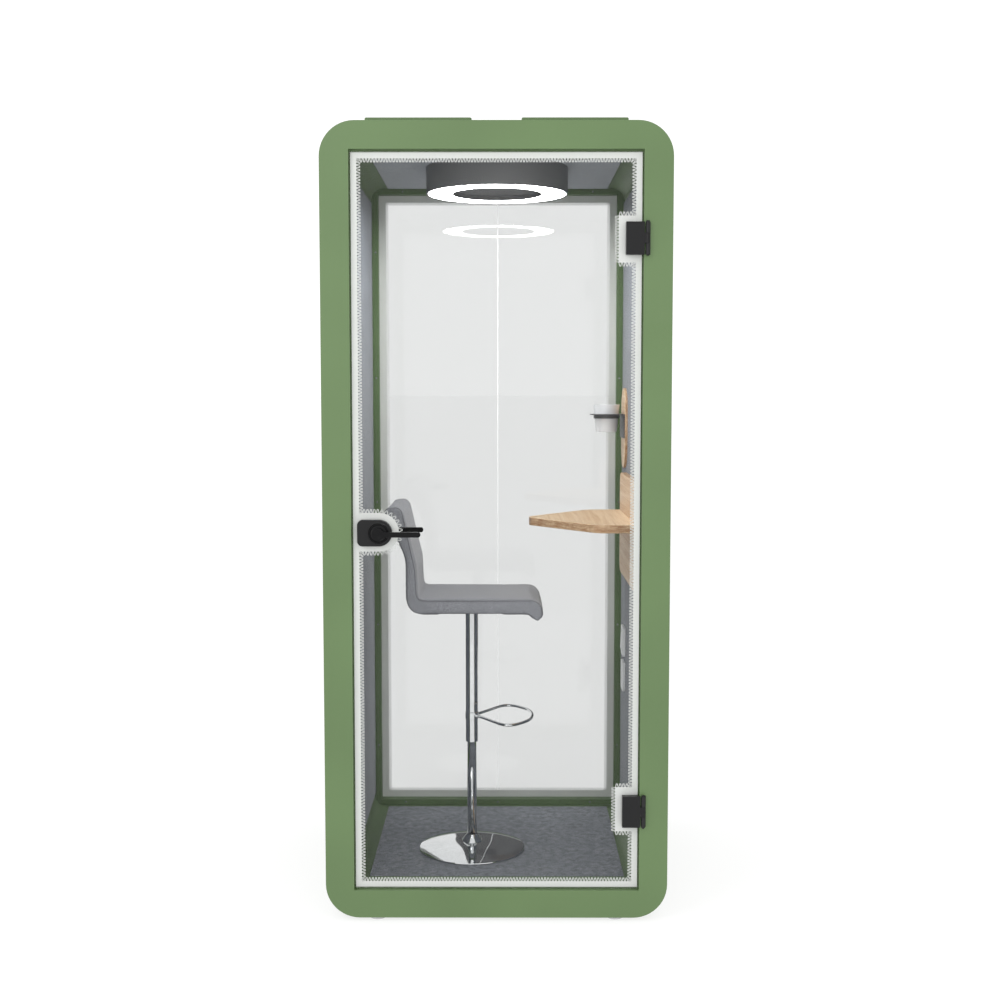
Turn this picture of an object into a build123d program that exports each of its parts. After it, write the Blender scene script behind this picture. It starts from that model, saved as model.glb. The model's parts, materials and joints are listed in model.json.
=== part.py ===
"""Indoor telephone booth: a single-person acoustic cabin with a glass door, desk and height-adjustable stool.

Millimetres, +Z up, the door faces -Y. The origin is on the floor, under the centre of the whole booth.
Heights in the driving dimensions are counted from the underside of the frames, and distances called
"behind" are counted from the front face of the front frame.
"""

from build123d import *
import os
from math import cos, radians, sin

os.makedirs("parts", exist_ok=True)

# ---- Driving dimensions: shell ----
width = 1000.0
depth = 1000.0
height = 2300.0
foot_gap = 10.0  # levelling feet lift the frames off the floor
frame_radius = 100.0
frame_depth = 76.0
sheet = 2.5  # folded sheet of the two frames
jamb = 83.0  # frame edge to door opening, at the sides
sill = 82.0
head = 80.0
stop_lip = 16.0  # how far the door stop stands inside the opening
stop_behind = 22.0
wall_build = 59.0  # structure from the frame's edge to the cabin's side
floor_build = 50.0
ceiling_build = 57.0
cove_radius = 50.0
post_wall = 3.0
top_flange = 119.0  # reach of the upper posts from the frame's side
skin_sheet = 1.5
board = 9.0
felt = 9.0
wall_felt_proud = 3.0
ceiling_felt_proud = 3.0
carpet_pile = 6.0
deck_board = 18.0
carpet_top = 54.0
foot_radius = 24.0
foot_x = width / 2 - 150.0

# ---- Rear glazing ----
rebate_side = 62.0  # frame edge to rebate
rebate_low = 52.0
rebate_high = height - 56.0
bead_width = 20.0
bead_behind = depth - 50.0
glass_sheet = 10.0
gasket_sheet = 4.5
pane_gap = 2.0
pane_clearance = 2.0
bead_screw_pitch = width / 2 - 168.0
bead_screw_rows = 5

# ---- Door ----
door_gap = 3.0
door_gap_low = 4.0
door_gap_high = 5.5
door_behind = 8.0
seal_gap = 0.3
hinge_axis_x = width / 2 - 73.0
hinge_axis_behind = -9.5
hinge_heights = (320.0, height - 329.0)
hinge_height = 92.0
clamp_left = hinge_axis_x - 61.0
clamp_right = hinge_axis_x - 9.0
clamp_back = 30.0
knuckle_radius = 6.0
pin_radius = 3.0
running = 0.05  # radial clearance of a shaft in its bore
part_gap = 0.3  # clearance between pieces that move past each other
leaf_sheet = 3.0
screw_radius = 3.0

# ---- Lever lock ----
lock_height = 1135.0
hub_x = 163.0 - width / 2
case_left = hub_x - 62.0
inner_case_left = hub_x - 57.0
case_radius = 38.0
case_corner = 15.0
outer_case_behind = -14.0
inner_case_behind = 46.0
rose_radius = 30.0
rose_proud = 5.0
lever_tip_x = hub_x + 122.0
lever_thick = 14.0
hub_radius = 17.0
lever_reach = 60.0  # front face of the frame to the front of the outer lever
inner_lever_behind = 100.0
spindle = 8.0
bolt_tall = 16.0
bolt_deep = 12.0
bolt_behind = 28.0
bolt_tip_x = hub_x - 60.5
bolt_length = 32.0
bolt_throw = 12.0
turn_x = hub_x - 44.0
turn_radius = 9.0
turn_proud = 16.0

# ---- Ceiling lamp and ventilation ----
lamp_behind = depth / 2 - 30.0
lamp_radius = 222.5
lamp_low = height - 142.0
lamp_wall = 5.5
lens_inner = 141.5
lens_sheet = 5.0
cover_inner = 73.0
cover_outer = width / 2 - 115.0
cover_front = 150.0
cover_back = depth - 150.0
cover_top = height + 36.0
cover_sheet = 2.0
fan_x = (cover_inner + cover_outer) / 2
fan_behind = 235.0
fan_size = 120.0
fan_deep = 25.0
fan_bore = 57.0
blade_radius = 55.0
blade_count = 7
duct_radius = 52.0
gland_behind = depth - 100.0

# ---- Desk and wall fittings ----
desk_top_height = 1139.0
desk_thick = 25.0
desk_middle = lamp_behind
desk_half = 280.0
desk_shoulder = width / 2 - 196.0
desk_nose = width / 2 - 414.0
panel_thick = 20.0
panel_low = 928.0
panel_high = 1266.0
panel_half = 298.0
panel_middle = desk_middle + 5.0
panel_radius = 40.0
rod_radius = 6.0
panel_tall = 272.0
panel_deep = 150.0
disc_thick = 9.5
disc_height = 1415.0
disc_behind = desk_middle + 318.0
pot_low = 1402.6
pot_high = 1494.8
pot_top_radius = 44.5
pot_foot_radius = 35.5
pot_wall = 3.0
ring_low = 1447.8
ring_high = 1463.0
ring_outer = pot_top_radius + 12.0
ring_sheet = 3.0
ring_wall = 2.5
plate_behind = desk_middle + 310.0
plate_half = 43.0
plate_tall = 100.0
plate_thick = 9.0
switch_height = 682.0
socket_height = 561.0
rocker_half = 22.0
rocker_tall = 58.0
rocker_tilt = 3.0
box_half = 32.0
box_deep = 40.0

# ---- Stool ----
stool_x = -82.0
stool_behind = lamp_behind - 1.0
base_radius = 171.5
base_rim = 5.0
base_dome = 24.0
tube_radius = 15.25
collar_radius = tube_radius + 8.75
collar_top = 60.0
tube_bore = tube_radius - 3.0
tube_top = 609.0
rod_r = 5.0
rod_low = 440.0
sleeve_radius = tube_radius + 4.75
sleeve_wall = 2.0
sleeve_low = 409.0
rest_height = 494.0
rest_wire = 4.5
rest_out = 114.0
rest_nose = 193.0
rest_half = 157.0
seat_low = 852.0
seat_top = seat_low + 43.0
seat_half = 184.0
seat_round = 9.0
seat_plate_sheet = 5.0
lift_lever_radius = 4.0
lift_lever_out = 165.0

# ---- Worked out from the driving dimensions ----
half = width / 2
front_y = -(depth - lever_reach) / 2
open_half = half - jamb
open_low = sill
open_high = height - head
stop_half = open_half - stop_lip
cabin_half = half - wall_build
ceiling = height - ceiling_build
post_reach = wall_build + cove_radius
skin_half = half - sheet
rebate_half = half - rebate_side
glass_back = door_behind + glass_sheet
lip_behind = depth - sheet
pane_behind = lip_behind - gasket_sheet - glass_sheet
lining_end = depth - frame_depth
wall_x = cabin_half - wall_felt_proud
ceiling_face = ceiling - ceiling_felt_proud
roof_skin_top = height - sheet
desk_face = wall_x - panel_thick
pot_x = wall_x - disc_thick - ring_outer
desk_low = desk_top_height - desk_thick
door_half = open_half - door_gap
stool_y = front_y + stool_behind
rod_top = seat_low - seat_plate_sheet


def level(z):
    """Height above the floor of a height counted from the frames' underside."""
    return foot_gap + z


def y_of(behind):
    """Y of a distance counted from the front frame's front face."""
    return front_y + behind


def facing(behind):
    """Plane parallel to the door; sketch X is X, sketch Y is Z, and negative extrusion goes inward."""
    return Plane.XZ.offset(-y_of(behind))


def floor_plane(z):
    return Plane.XY.offset(level(z))


def span(low, high):
    return (low + high) / 2, high - low


def block(x, behind, z, mode=Mode.ADD):
    """Box between pairs of limits, in the driving dimensions' own measures."""
    (mid_x, size_x), (mid_y, size_y), (mid_z, size_z) = span(*x), span(*behind), span(*z)
    with Locations((mid_x, y_of(mid_y), level(mid_z))):
        Box(size_x, size_y, size_z, mode=mode)


def upright(x, behind, z, radius, mode=Mode.ADD):
    """Round bar standing between two heights."""
    mid_z, size_z = span(*z)
    with Locations((x, y_of(behind), level(mid_z))):
        Cylinder(radius, size_z, mode=mode)


def inward(x, behind, z, radius, mode=Mode.ADD):
    """Round bar lying along Y between two distances behind the front face."""
    mid_y, size_y = span(*behind)
    with Locations(Location((x, y_of(mid_y), level(z)), (90, 0, 0))):
        Cylinder(radius, size_y, mode=mode)


def sideways(x, behind, z, radius, mode=Mode.ADD):
    """Round bar lying along X."""
    mid_x, size_x = span(*x)
    with Locations(Location((mid_x, y_of(behind), level(z)), (0, 90, 0))):
        Cylinder(radius, size_x, mode=mode)


def outline(inset=0.0, mode=Mode.ADD):
    """The booth's rounded outline, drawn on a facing plane."""
    with Locations((0, level(height / 2))):
        RectangleRounded(width - 2 * inset, height - 2 * inset, frame_radius - inset, mode=mode)


def window(half_x, low, high, mode=Mode.SUBTRACT):
    """Rectangle centred on X, drawn on a facing plane."""
    mid_z, size_z = span(level(low), level(high))
    with Locations((0, mid_z)):
        Rectangle(2 * half_x, size_z, mode=mode)


def lining_outline(mode=Mode.ADD):
    """The cabin's section with its coved corners, drawn on a facing plane."""
    mid_z, size_z = span(level(floor_build), level(ceiling))
    with Locations((0, mid_z)):
        RectangleRounded(2 * cabin_half, size_z, cove_radius, mode=mode)


# ---- Frames ----
with BuildPart() as front_frame:
    with BuildSketch(facing(0)):
        outline()
        window(stop_half, open_low + stop_lip, open_high - stop_lip)
    extrude(amount=-frame_depth)
    with BuildSketch(facing(0)):
        window(open_half, open_low, open_high, Mode.ADD)
    extrude(amount=-stop_behind, mode=Mode.SUBTRACT)
    with BuildSketch(facing(sheet)):
        outline(sheet)
        lining_outline(Mode.SUBTRACT)
    extrude(amount=-frame_depth, mode=Mode.SUBTRACT)
    with BuildSketch(facing(sheet)):
        lining_outline()
        window(open_half + sheet, open_low - sheet, open_high + sheet)
    extrude(amount=-(frame_depth - 2 * sheet), mode=Mode.SUBTRACT)
    with BuildSketch(facing(stop_behind + sheet)):
        window(open_half + sheet, open_low - sheet, open_high + sheet, Mode.ADD)
        window(stop_half + sheet, open_low + stop_lip - sheet, open_high - stop_lip + sheet)
    extrude(amount=-(frame_depth - stop_behind - 2 * sheet), mode=Mode.SUBTRACT)
    block(
        (-stop_half - sheet, -stop_half),
        (bolt_behind - 2, bolt_behind + bolt_deep + 2),
        (lock_height - bolt_tall / 2 - 2, lock_height + bolt_tall / 2 + 2),
        Mode.SUBTRACT,
    )
    with Locations((foot_x, y_of(frame_depth / 2), level(0)), (-foot_x, y_of(frame_depth / 2), level(0))):
        Cylinder(foot_radius / 4, 4 * sheet, mode=Mode.SUBTRACT)

with BuildPart() as rear_frame:
    with BuildSketch(facing(lining_end)):
        outline()
        window(rebate_half - bead_width, rebate_low + bead_width, rebate_high - bead_width)
    extrude(amount=-frame_depth)
    with BuildSketch(facing(lining_end)):
        window(rebate_half, rebate_low, rebate_high, Mode.ADD)
    extrude(amount=-(frame_depth - sheet), mode=Mode.SUBTRACT)
    with BuildSketch(facing(lining_end)):
        outline(sheet)
        window(rebate_half + sheet, rebate_low - sheet, rebate_high + sheet)
    extrude(amount=-(frame_depth - sheet), mode=Mode.SUBTRACT)
    with Locations(
        (foot_x, y_of(depth - frame_depth / 2), level(0)), (-foot_x, y_of(depth - frame_depth / 2), level(0))
    ):
        Cylinder(foot_radius / 4, 4 * sheet, mode=Mode.SUBTRACT)


def corner_regions():
    """The four corners of the shell, between the outline and the cabin's coves."""
    outline(sheet)
    window(half, post_reach - wall_build + floor_build, ceiling - cove_radius)
    window(half - post_reach, 0, height / 2)
    window(half - top_flange, height / 2, height)
    lining_outline(Mode.SUBTRACT)


with BuildPart() as corner_posts:
    with BuildSketch(facing(sheet)):
        corner_regions()
    extrude(amount=-(depth - 2 * sheet))
    with BuildSketch(facing(sheet)) as post_hollow:
        corner_regions()
        offset(amount=-post_wall, mode=Mode.REPLACE)
    extrude(amount=-(depth - 2 * sheet), mode=Mode.SUBTRACT)
    block(
        (-rebate_half - sheet, rebate_half + sheet),
        (lining_end, depth),
        (rebate_low - sheet, rebate_high + sheet),
        Mode.SUBTRACT,
    )

# ---- Panels between the posts ----
wall_low = floor_build + cove_radius
wall_high = ceiling - cove_radius
duct_hole = duct_radius + part_gap


def ducts(z, mode=Mode.SUBTRACT, radius=duct_hole):
    upright(fan_x, fan_behind, z, radius, mode)
    upright(-fan_x, fan_behind, z, radius, mode)


def box_pockets(x, grow=0.0):
    """Room for the two electrical boxes in the right wall."""
    for middle in (switch_height, socket_height):
        block(
            x,
            (plate_behind - box_half - grow, plate_behind + box_half + grow),
            (middle - box_half - grow, middle + box_half + grow),
            Mode.SUBTRACT,
        )


with BuildPart() as side_skins:
    block((skin_half - skin_sheet, skin_half), (sheet, lip_behind), (wall_low, wall_high))
    mirror(about=Plane.YZ)

with BuildPart() as roof_skin:
    flat_half = half - top_flange
    block((-flat_half, flat_half), (sheet, lip_behind), (roof_skin_top - skin_sheet, roof_skin_top))
    ducts((roof_skin_top - 10, roof_skin_top + 10))
    upright(0, gland_behind, (roof_skin_top - 10, roof_skin_top + 10), foot_radius / 4, Mode.SUBTRACT)

with BuildPart() as floor_skin:
    floor_half = half - post_reach
    block((-floor_half, floor_half), (frame_depth, lining_end), (sheet, sheet + skin_sheet))

wool_x = cabin_half + felt - wall_felt_proud + board
wool_low = carpet_top - carpet_pile - deck_board
wool_high = ceiling_face + felt + board
with BuildPart() as insulation:
    wool_z = (wall_low, wall_high)
    block((wool_x, skin_half - skin_sheet), (frame_depth, lining_end), wool_z)
    block((-skin_half + skin_sheet, -wool_x), (frame_depth, lining_end), wool_z)
    block((-floor_half, floor_half), (frame_depth, lining_end), (sheet + skin_sheet, wool_low))
    block((-flat_half, flat_half), (frame_depth, lining_end), (wool_high, roof_skin_top - skin_sheet))
    ducts((wool_high, roof_skin_top))
    upright(0, gland_behind, (roof_skin_top - 30, roof_skin_top), foot_radius / 2, Mode.SUBTRACT)
    box_pockets((wool_x, wool_x + box_deep))

board_x = wool_x - board
with BuildPart() as lining_boards:
    block((board_x, wool_x), (frame_depth, lining_end), (wall_low, wall_high))
    block((-wool_x, -board_x), (frame_depth, lining_end), (wall_low, wall_high))
    block((-flat_half, flat_half), (frame_depth, lining_end), (wool_high - board, wool_high))
    ducts((wool_high - board, wool_high))
    box_pockets((board_x, wool_x))

with BuildPart() as wall_felts:
    block((wall_x, board_x), (frame_depth, lining_end), (wall_low, wall_high))
    block((-board_x, -wall_x), (frame_depth, lining_end), (wall_low, wall_high))
    box_pockets((wall_x, board_x))

with BuildPart() as ceiling_felt:
    block((-flat_half, flat_half), (frame_depth, lining_end), (ceiling_face, ceiling_face + felt))
    ducts((ceiling_face, ceiling_face + felt))

with BuildPart() as floor_deck:
    block((-floor_half, floor_half), (frame_depth, lining_end), (wool_low, carpet_top - carpet_pile))

with BuildPart() as carpet:
    block((-floor_half, floor_half), (frame_depth, lining_end), (carpet_top - carpet_pile, carpet_top))

with BuildPart() as levelling_feet:
    for foot_behind in (frame_depth / 2, depth - frame_depth / 2):
        upright(foot_x, foot_behind, (-foot_gap, -foot_gap / 2), foot_radius)
        upright(foot_x, foot_behind, (-foot_gap / 2, 0), foot_radius / 2)
        upright(foot_x, foot_behind, (0, 3 * foot_gap), foot_radius / 4 - part_gap)
    mirror(about=Plane.YZ)

# ---- Rear glazing ----
mitre_gap = 0.3
with BuildPart() as glazing_beads:
    with BuildSketch(facing(bead_behind)):
        window(rebate_half, rebate_low, rebate_high, Mode.ADD)
        window(rebate_half - bead_width, rebate_low + bead_width, rebate_high - bead_width)
        for side in (-1, 1):
            for corner_z, tilt in ((rebate_low, 45 * side), (rebate_high, -45 * side)):
                inner_z = bead_width / 2 if corner_z == rebate_low else -bead_width / 2
                with Locations((side * (rebate_half - bead_width / 2), level(corner_z + inner_z))):
                    Rectangle(mitre_gap, 4 * bead_width, rotation=tilt, mode=Mode.SUBTRACT)
    extrude(amount=-(pane_behind - bead_behind))

bead_mid = rebate_half - bead_width / 2
with BuildPart() as bead_screws:
    for row in range(3):
        screw_x = (row - 1) * bead_screw_pitch
        for screw_z in (rebate_low + bead_width / 2, rebate_high - bead_width / 2):
            inward(screw_x, (bead_behind - 1.2, bead_behind), screw_z, screw_radius)
    for row in range(bead_screw_rows):
        screw_z = rebate_low + (row + 0.5) * (rebate_high - rebate_low) / bead_screw_rows
        for screw_x in (-bead_mid, bead_mid):
            inward(screw_x, (bead_behind - 1.2, bead_behind), screw_z, screw_radius)

pane_edge = rebate_half - pane_clearance
pane_z = (rebate_low + pane_clearance, rebate_high - pane_clearance)
pane_y = (pane_behind, pane_behind + glass_sheet)
with BuildPart() as rear_glass_left:
    block((-pane_edge, -pane_gap / 2), pane_y, pane_z)

with BuildPart() as rear_glass_right:
    block((pane_gap / 2, pane_edge), pane_y, pane_z)

with BuildPart() as rear_seam:
    block((-pane_gap / 2, pane_gap / 2), pane_y, pane_z)

with BuildPart() as rear_gasket:
    with BuildSketch(facing(lip_behind - gasket_sheet)):
        window(pane_edge, pane_z[0], pane_z[1], Mode.ADD)
        window(rebate_half - bead_width, rebate_low + bead_width, rebate_high - bead_width)
    extrude(amount=-gasket_sheet)

# ---- Door ----
with BuildPart() as door_seal:
    with BuildSketch(facing(glass_back + seal_gap)):
        window(door_half - 1, open_low + door_gap_low + 1, open_high - door_gap_high - 1, Mode.ADD)
        window(stop_half + 1, open_low + stop_lip + 1, open_high - stop_lip - 1)
    extrude(amount=-(stop_behind - glass_back - seal_gap))

screw_drop = hinge_height / 4
screw_x = (clamp_left + clamp_right) / 2
with BuildPart() as door_glass:
    with BuildSketch(facing(door_behind)):
        window(door_half, open_low + door_gap_low, open_high - door_gap_high, Mode.ADD)
        with Locations((hub_x, level(lock_height))):
            Circle(spindle, mode=Mode.SUBTRACT)
    extrude(amount=-glass_sheet)
    for hinge in hinge_heights:
        for drop in (-screw_drop, screw_drop):
            inward(screw_x, (door_behind, glass_back), hinge + drop, 2 * screw_radius, Mode.SUBTRACT)

knuckle_half = hinge_height / 6 - part_gap
with BuildPart() as hinge_clamps:
    for hinge in hinge_heights:
        clamp_z = (hinge - hinge_height / 2, hinge + hinge_height / 2)
        knuckle_z = (hinge - knuckle_half, hinge + knuckle_half)
        block((clamp_left, door_half), (-1, door_behind), clamp_z)
        block((clamp_left, clamp_right), (hinge_axis_behind - 3.5, -1), clamp_z)
        block((clamp_right - 1, hinge_axis_x), (hinge_axis_behind - 3.5, hinge_axis_behind + 4.5), knuckle_z)
        upright(hinge_axis_x, hinge_axis_behind, knuckle_z, knuckle_radius)
        upright(hinge_axis_x, hinge_axis_behind, knuckle_z, pin_radius + running, Mode.SUBTRACT)
        block((clamp_left, stop_half - 3), (glass_back, clamp_back), clamp_z)
        for drop in (-screw_drop, screw_drop):
            inward(screw_x, (2, clamp_back), hinge + drop, screw_radius + running, Mode.SUBTRACT)

with BuildPart() as hinge_screws:
    for hinge in hinge_heights:
        for drop in (-screw_drop, screw_drop):
            inward(screw_x, (2, clamp_back), hinge + drop, screw_radius)
            inward(screw_x, (clamp_back, clamp_back + 2.5), hinge + drop, 1.8 * screw_radius)

with BuildPart() as hinge_jamb_leaves:
    for hinge in hinge_heights:
        leaf_z = (hinge - hinge_height / 2, hinge + hinge_height / 2)
        block((hinge_axis_x - 4, hinge_axis_x + 8), (-leaf_sheet, 0), leaf_z)
        for end in (-1, 1):
            near, far = hinge + end * hinge_height / 6, hinge + end * hinge_height / 2
            knuckle_z = (min(near, far), max(near, far))
            upright(hinge_axis_x, hinge_axis_behind, knuckle_z, knuckle_radius)
            block((hinge_axis_x - 4, hinge_axis_x + 6), (hinge_axis_behind, -leaf_sheet), knuckle_z)
            upright(hinge_axis_x, hinge_axis_behind, knuckle_z, pin_radius + running, Mode.SUBTRACT)

with BuildPart() as hinge_pins:
    for hinge in hinge_heights:
        pin_z = (hinge - hinge_height / 2 - 3, hinge + hinge_height / 2)
        upright(hinge_axis_x, hinge_axis_behind, pin_z, pin_radius)
        upright(hinge_axis_x, hinge_axis_behind, (pin_z[1], pin_z[1] + 3), knuckle_radius - 1)

with BuildPart() as strike_plate:
    block(
        (-stop_half, -stop_half + 1.5),
        (bolt_behind - 8, bolt_behind + bolt_deep + 12),
        (lock_height - 35, lock_height + 35),
    )
    block(
        (-stop_half, -stop_half + 1.5),
        (bolt_behind - 2, bolt_behind + bolt_deep + 2),
        (lock_height - bolt_tall / 2 - 2, lock_height + bolt_tall / 2 + 2),
        Mode.SUBTRACT,
    )

# ---- Lever lock ----


def case_profile(left):
    """Case outline: small corners at the free edge, a half round about the lever's hub."""
    mid_x, size_x = span(left, hub_x)
    with Locations((mid_x, level(lock_height))):
        Rectangle(size_x, 2 * case_radius)
    with Locations((hub_x, level(lock_height))):
        Circle(case_radius)


spindle_hole = spindle * 0.75
channel_end = bolt_tip_x + bolt_length + bolt_throw + 1
with BuildPart() as lock_cases:
    with BuildSketch(facing(outer_case_behind)):
        case_profile(case_left)
    extrude(amount=outer_case_behind - door_behind)
    inward(hub_x, (outer_case_behind - rose_proud, outer_case_behind), lock_height, rose_radius)
    with BuildSketch(facing(glass_back)):
        case_profile(inner_case_left)
    extrude(amount=glass_back - inner_case_behind)
    inward(hub_x, (inner_case_behind, inner_case_behind + rose_proud), lock_height, rose_radius)
    free_edges = edges().filter_by(Axis.Y).filter_by(lambda e: e.center().X < inner_case_left + 1)
    fillet(free_edges, case_corner)
    inward(hub_x, (outer_case_behind - 20, inner_case_behind + 20), lock_height, spindle_hole, Mode.SUBTRACT)
    block(
        (inner_case_left - 1, channel_end),
        (bolt_behind - part_gap, bolt_behind + bolt_deep + part_gap),
        (lock_height - bolt_tall / 2 - part_gap, lock_height + bolt_tall / 2 + part_gap),
        Mode.SUBTRACT,
    )
    inward(turn_x, (inner_case_behind - 4, inner_case_behind), lock_height, turn_radius / 2 + running, Mode.SUBTRACT)

with BuildPart() as latch_bolt:
    block(
        (bolt_tip_x, bolt_tip_x + bolt_length),
        (bolt_behind, bolt_behind + bolt_deep),
        (lock_height - bolt_tall / 2, lock_height + bolt_tall / 2),
    )
    chamfer(edges().filter_by(Axis.Z).sort_by(Axis.X)[0:1], 2.0)

with BuildPart() as privacy_turn:
    inward(turn_x, (inner_case_behind - 4, inner_case_behind), lock_height, turn_radius / 2)
    inward(turn_x, (inner_case_behind + part_gap, inner_case_behind + 5), lock_height, turn_radius)
    inward(turn_x, (inner_case_behind - 1, inner_case_behind + 1), lock_height, turn_radius / 2)
    block(
        (turn_x - 2, turn_x + 2),
        (inner_case_behind + 4, inner_case_behind + turn_proud),
        (lock_height - turn_radius, lock_height + turn_radius),
    )

outer_neck = (-lever_reach, outer_case_behind - rose_proud - part_gap)
inner_neck = (inner_case_behind + rose_proud + part_gap, inner_lever_behind)
with BuildPart() as lever_outer:
    inward(hub_x, outer_neck, lock_height, hub_radius)
    with BuildSketch(facing(-lever_reach)):
        with Locations(((hub_x + lever_tip_x) / 2, level(lock_height))):
            SlotCenterToCenter(lever_tip_x - hub_x - lever_thick, lever_thick)
    extrude(amount=-lever_thick)
    fillet(faces().sort_by(Axis.Y)[0].edges(), lever_thick / 3)

with BuildPart() as lever_inner:
    inward(hub_x, inner_neck, lock_height, hub_radius)
    with BuildSketch(facing(inner_lever_behind)):
        with Locations(((hub_x + lever_tip_x) / 2, level(lock_height))):
            SlotCenterToCenter(lever_tip_x - hub_x - lever_thick, lever_thick)
    extrude(amount=lever_thick)
    fillet(faces().sort_by(Axis.Y)[-1].edges(), lever_thick / 3)
    block(
        (hub_x - spindle / 2, hub_x + spindle / 2),
        (outer_neck[1], inner_neck[0]),
        (lock_height - spindle / 2, lock_height + spindle / 2),
    )

# ---- Ceiling lamp ----
with BuildPart() as lamp_housing:
    upright(0, lamp_behind, (lamp_low, ceiling_face), lamp_radius)
    upright(0, lamp_behind, (lamp_low, ceiling_face - 3), lamp_radius - lamp_wall, Mode.SUBTRACT)

with BuildPart() as lamp_diffuser:
    upright(0, lamp_behind, (lamp_low + 1, lamp_low + 1 + lens_sheet), lamp_radius - lamp_wall)
    upright(0, lamp_behind, (lamp_low + 1, lamp_low + 1 + lens_sheet), lens_inner, Mode.SUBTRACT)

cup_wall = 3.0
cup_floor = lamp_low + 14
with BuildPart() as lamp_centre:
    upright(0, lamp_behind, (lamp_low, ceiling_face - 3), lens_inner)
    upright(0, lamp_behind, (lamp_low, cup_floor), lens_inner - cup_wall, Mode.SUBTRACT)
    upright(0, lamp_behind, (cup_floor + cup_wall, ceiling_face - 3), lens_inner - cup_wall, Mode.SUBTRACT)

with BuildPart() as lamp_board:
    upright(0, lamp_behind, (lamp_low + 40, lamp_low + 42), lamp_radius - 2 * lamp_wall)
    upright(0, lamp_behind, (lamp_low + 40, lamp_low + 42), lens_inner, Mode.SUBTRACT)

with BuildPart() as lamp_driver:
    block((-60, 60), (lamp_behind - 30, lamp_behind + 30), (ceiling_face - 33, ceiling_face - 3))

# ---- Ventilation ----
with BuildPart() as roof_covers:
    cover_z = (roof_skin_top, cover_top)
    block((cover_inner, cover_outer), (cover_front, cover_back), cover_z)
    fillet(edges().filter_by(Axis.Z), 6)
    fillet(faces().sort_by(Axis.Z)[-1].edges(), 3)
    block(
        (cover_inner + cover_sheet, cover_outer - cover_sheet),
        (cover_front + cover_sheet, cover_back - cover_sheet),
        (roof_skin_top, cover_top - cover_sheet),
        Mode.SUBTRACT,
    )
    for slot in range(12):
        slot_y = cover_back - 60 - slot * 22
        block((cover_outer - 5, cover_outer + 5), (slot_y, slot_y + 12), (cover_top - 26, cover_top - 8), Mode.SUBTRACT)
    mirror(about=Plane.YZ)

fan_low = roof_skin_top
fan_high = fan_low + fan_deep
motor_radius = 20.0
with BuildPart() as fan_housings:
    block(
        (fan_x - fan_size / 2, fan_x + fan_size / 2),
        (fan_behind - fan_size / 2, fan_behind + fan_size / 2),
        (fan_low, fan_high),
    )
    upright(fan_x, fan_behind, (fan_low, fan_high), fan_bore, Mode.SUBTRACT)
    upright(fan_x, fan_behind, (fan_low, fan_low + 4), motor_radius)
    for turn in (45, 135):
        with Locations(Location((fan_x, y_of(fan_behind), level(fan_low + 1.5)), (0, 0, turn))):
            Box(2 * fan_bore + 4, 6, 3)
    upright(fan_x, fan_behind, (fan_low, fan_low + 4), 2 + running, Mode.SUBTRACT)
    mirror(about=Plane.YZ)


def rotor_blade(x, index):
    """One pitched blade, from inside the hub to the blade circle."""
    angle = 360 * index / blade_count
    reach = (motor_radius - 3 + blade_radius) / 2
    spot = (x + reach * cos(radians(angle)), y_of(fan_behind) + reach * sin(radians(angle)), level(fan_low + 14))
    with Locations(Location(spot, (0, 0, angle))):
        Box(blade_radius - motor_radius + 3, 22, 1.6, rotation=(32, 0, 0))


def fan_rotor(x):
    upright(x, fan_behind, (fan_low + 4 + part_gap, fan_high - 3), motor_radius)
    for index in range(blade_count):
        rotor_blade(x, index)
    upright(x, fan_behind, (fan_low + 0.5, fan_low + 5), 2)


with BuildPart() as fan_rotor_left:
    fan_rotor(-fan_x)

with BuildPart() as fan_rotor_right:
    fan_rotor(fan_x)

grille_sheet = 3.0
with BuildPart() as ceiling_grilles:
    for grille_x in (-fan_x, fan_x):
        upright(grille_x, fan_behind, (ceiling_face - grille_sheet, ceiling_face), 1.4 * duct_radius)
        upright(grille_x, fan_behind, (ceiling_face, roof_skin_top), duct_radius)
        upright(grille_x, fan_behind, (ceiling_face, roof_skin_top), duct_radius - 2, Mode.SUBTRACT)
        for slot in range(-4, 5):
            slot_y = fan_behind + slot * 10
            reach = (duct_radius - 6) * cos(radians(abs(slot) * 16))
            block(
                (grille_x - reach, grille_x + reach),
                (slot_y - 2.5, slot_y + 2.5),
                (ceiling_face - grille_sheet, ceiling_face),
                Mode.SUBTRACT,
            )

with BuildPart() as cable_gland:
    upright(0, gland_behind, (roof_skin_top, roof_skin_top + 8), 13)
    upright(0, gland_behind, (roof_skin_top + 8, roof_skin_top + 24), 9)
    upright(0, gland_behind, (roof_skin_top - 12, roof_skin_top), foot_radius / 4 - part_gap)
    upright(0, gland_behind, (roof_skin_top - 20, roof_skin_top + 30), 4, Mode.SUBTRACT)

# ---- Desk ----
rod_height = desk_low + desk_thick / 2
rod_reach = 110.0


def desk_rod_set(radius, mode=Mode.ADD):
    for rod_offset in (-170, 0, 170):
        sideways((desk_face - rod_reach, wall_x), desk_middle + rod_offset, rod_height, radius, mode)


with BuildPart() as desk_top:
    with BuildSketch(floor_plane(desk_low)):
        with BuildLine():
            FilletPolyline(
                (desk_face, y_of(desk_middle - desk_half)),
                (desk_shoulder, y_of(desk_middle - desk_half)),
                (desk_nose, y_of(desk_middle)),
                (desk_shoulder, y_of(desk_middle + desk_half)),
                (desk_face, y_of(desk_middle + desk_half)),
                radius=60,
            )
            Line((desk_face, y_of(desk_middle + desk_half)), (desk_face, y_of(desk_middle - desk_half)))
        make_face()
    extrude(amount=desk_thick)
    fillet(faces().sort_by(Axis.Z)[-1].edges().filter_by(lambda e: e.center().X < desk_face - 1), 2)
    desk_rod_set(rod_radius + 2 * running, Mode.SUBTRACT)

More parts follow.
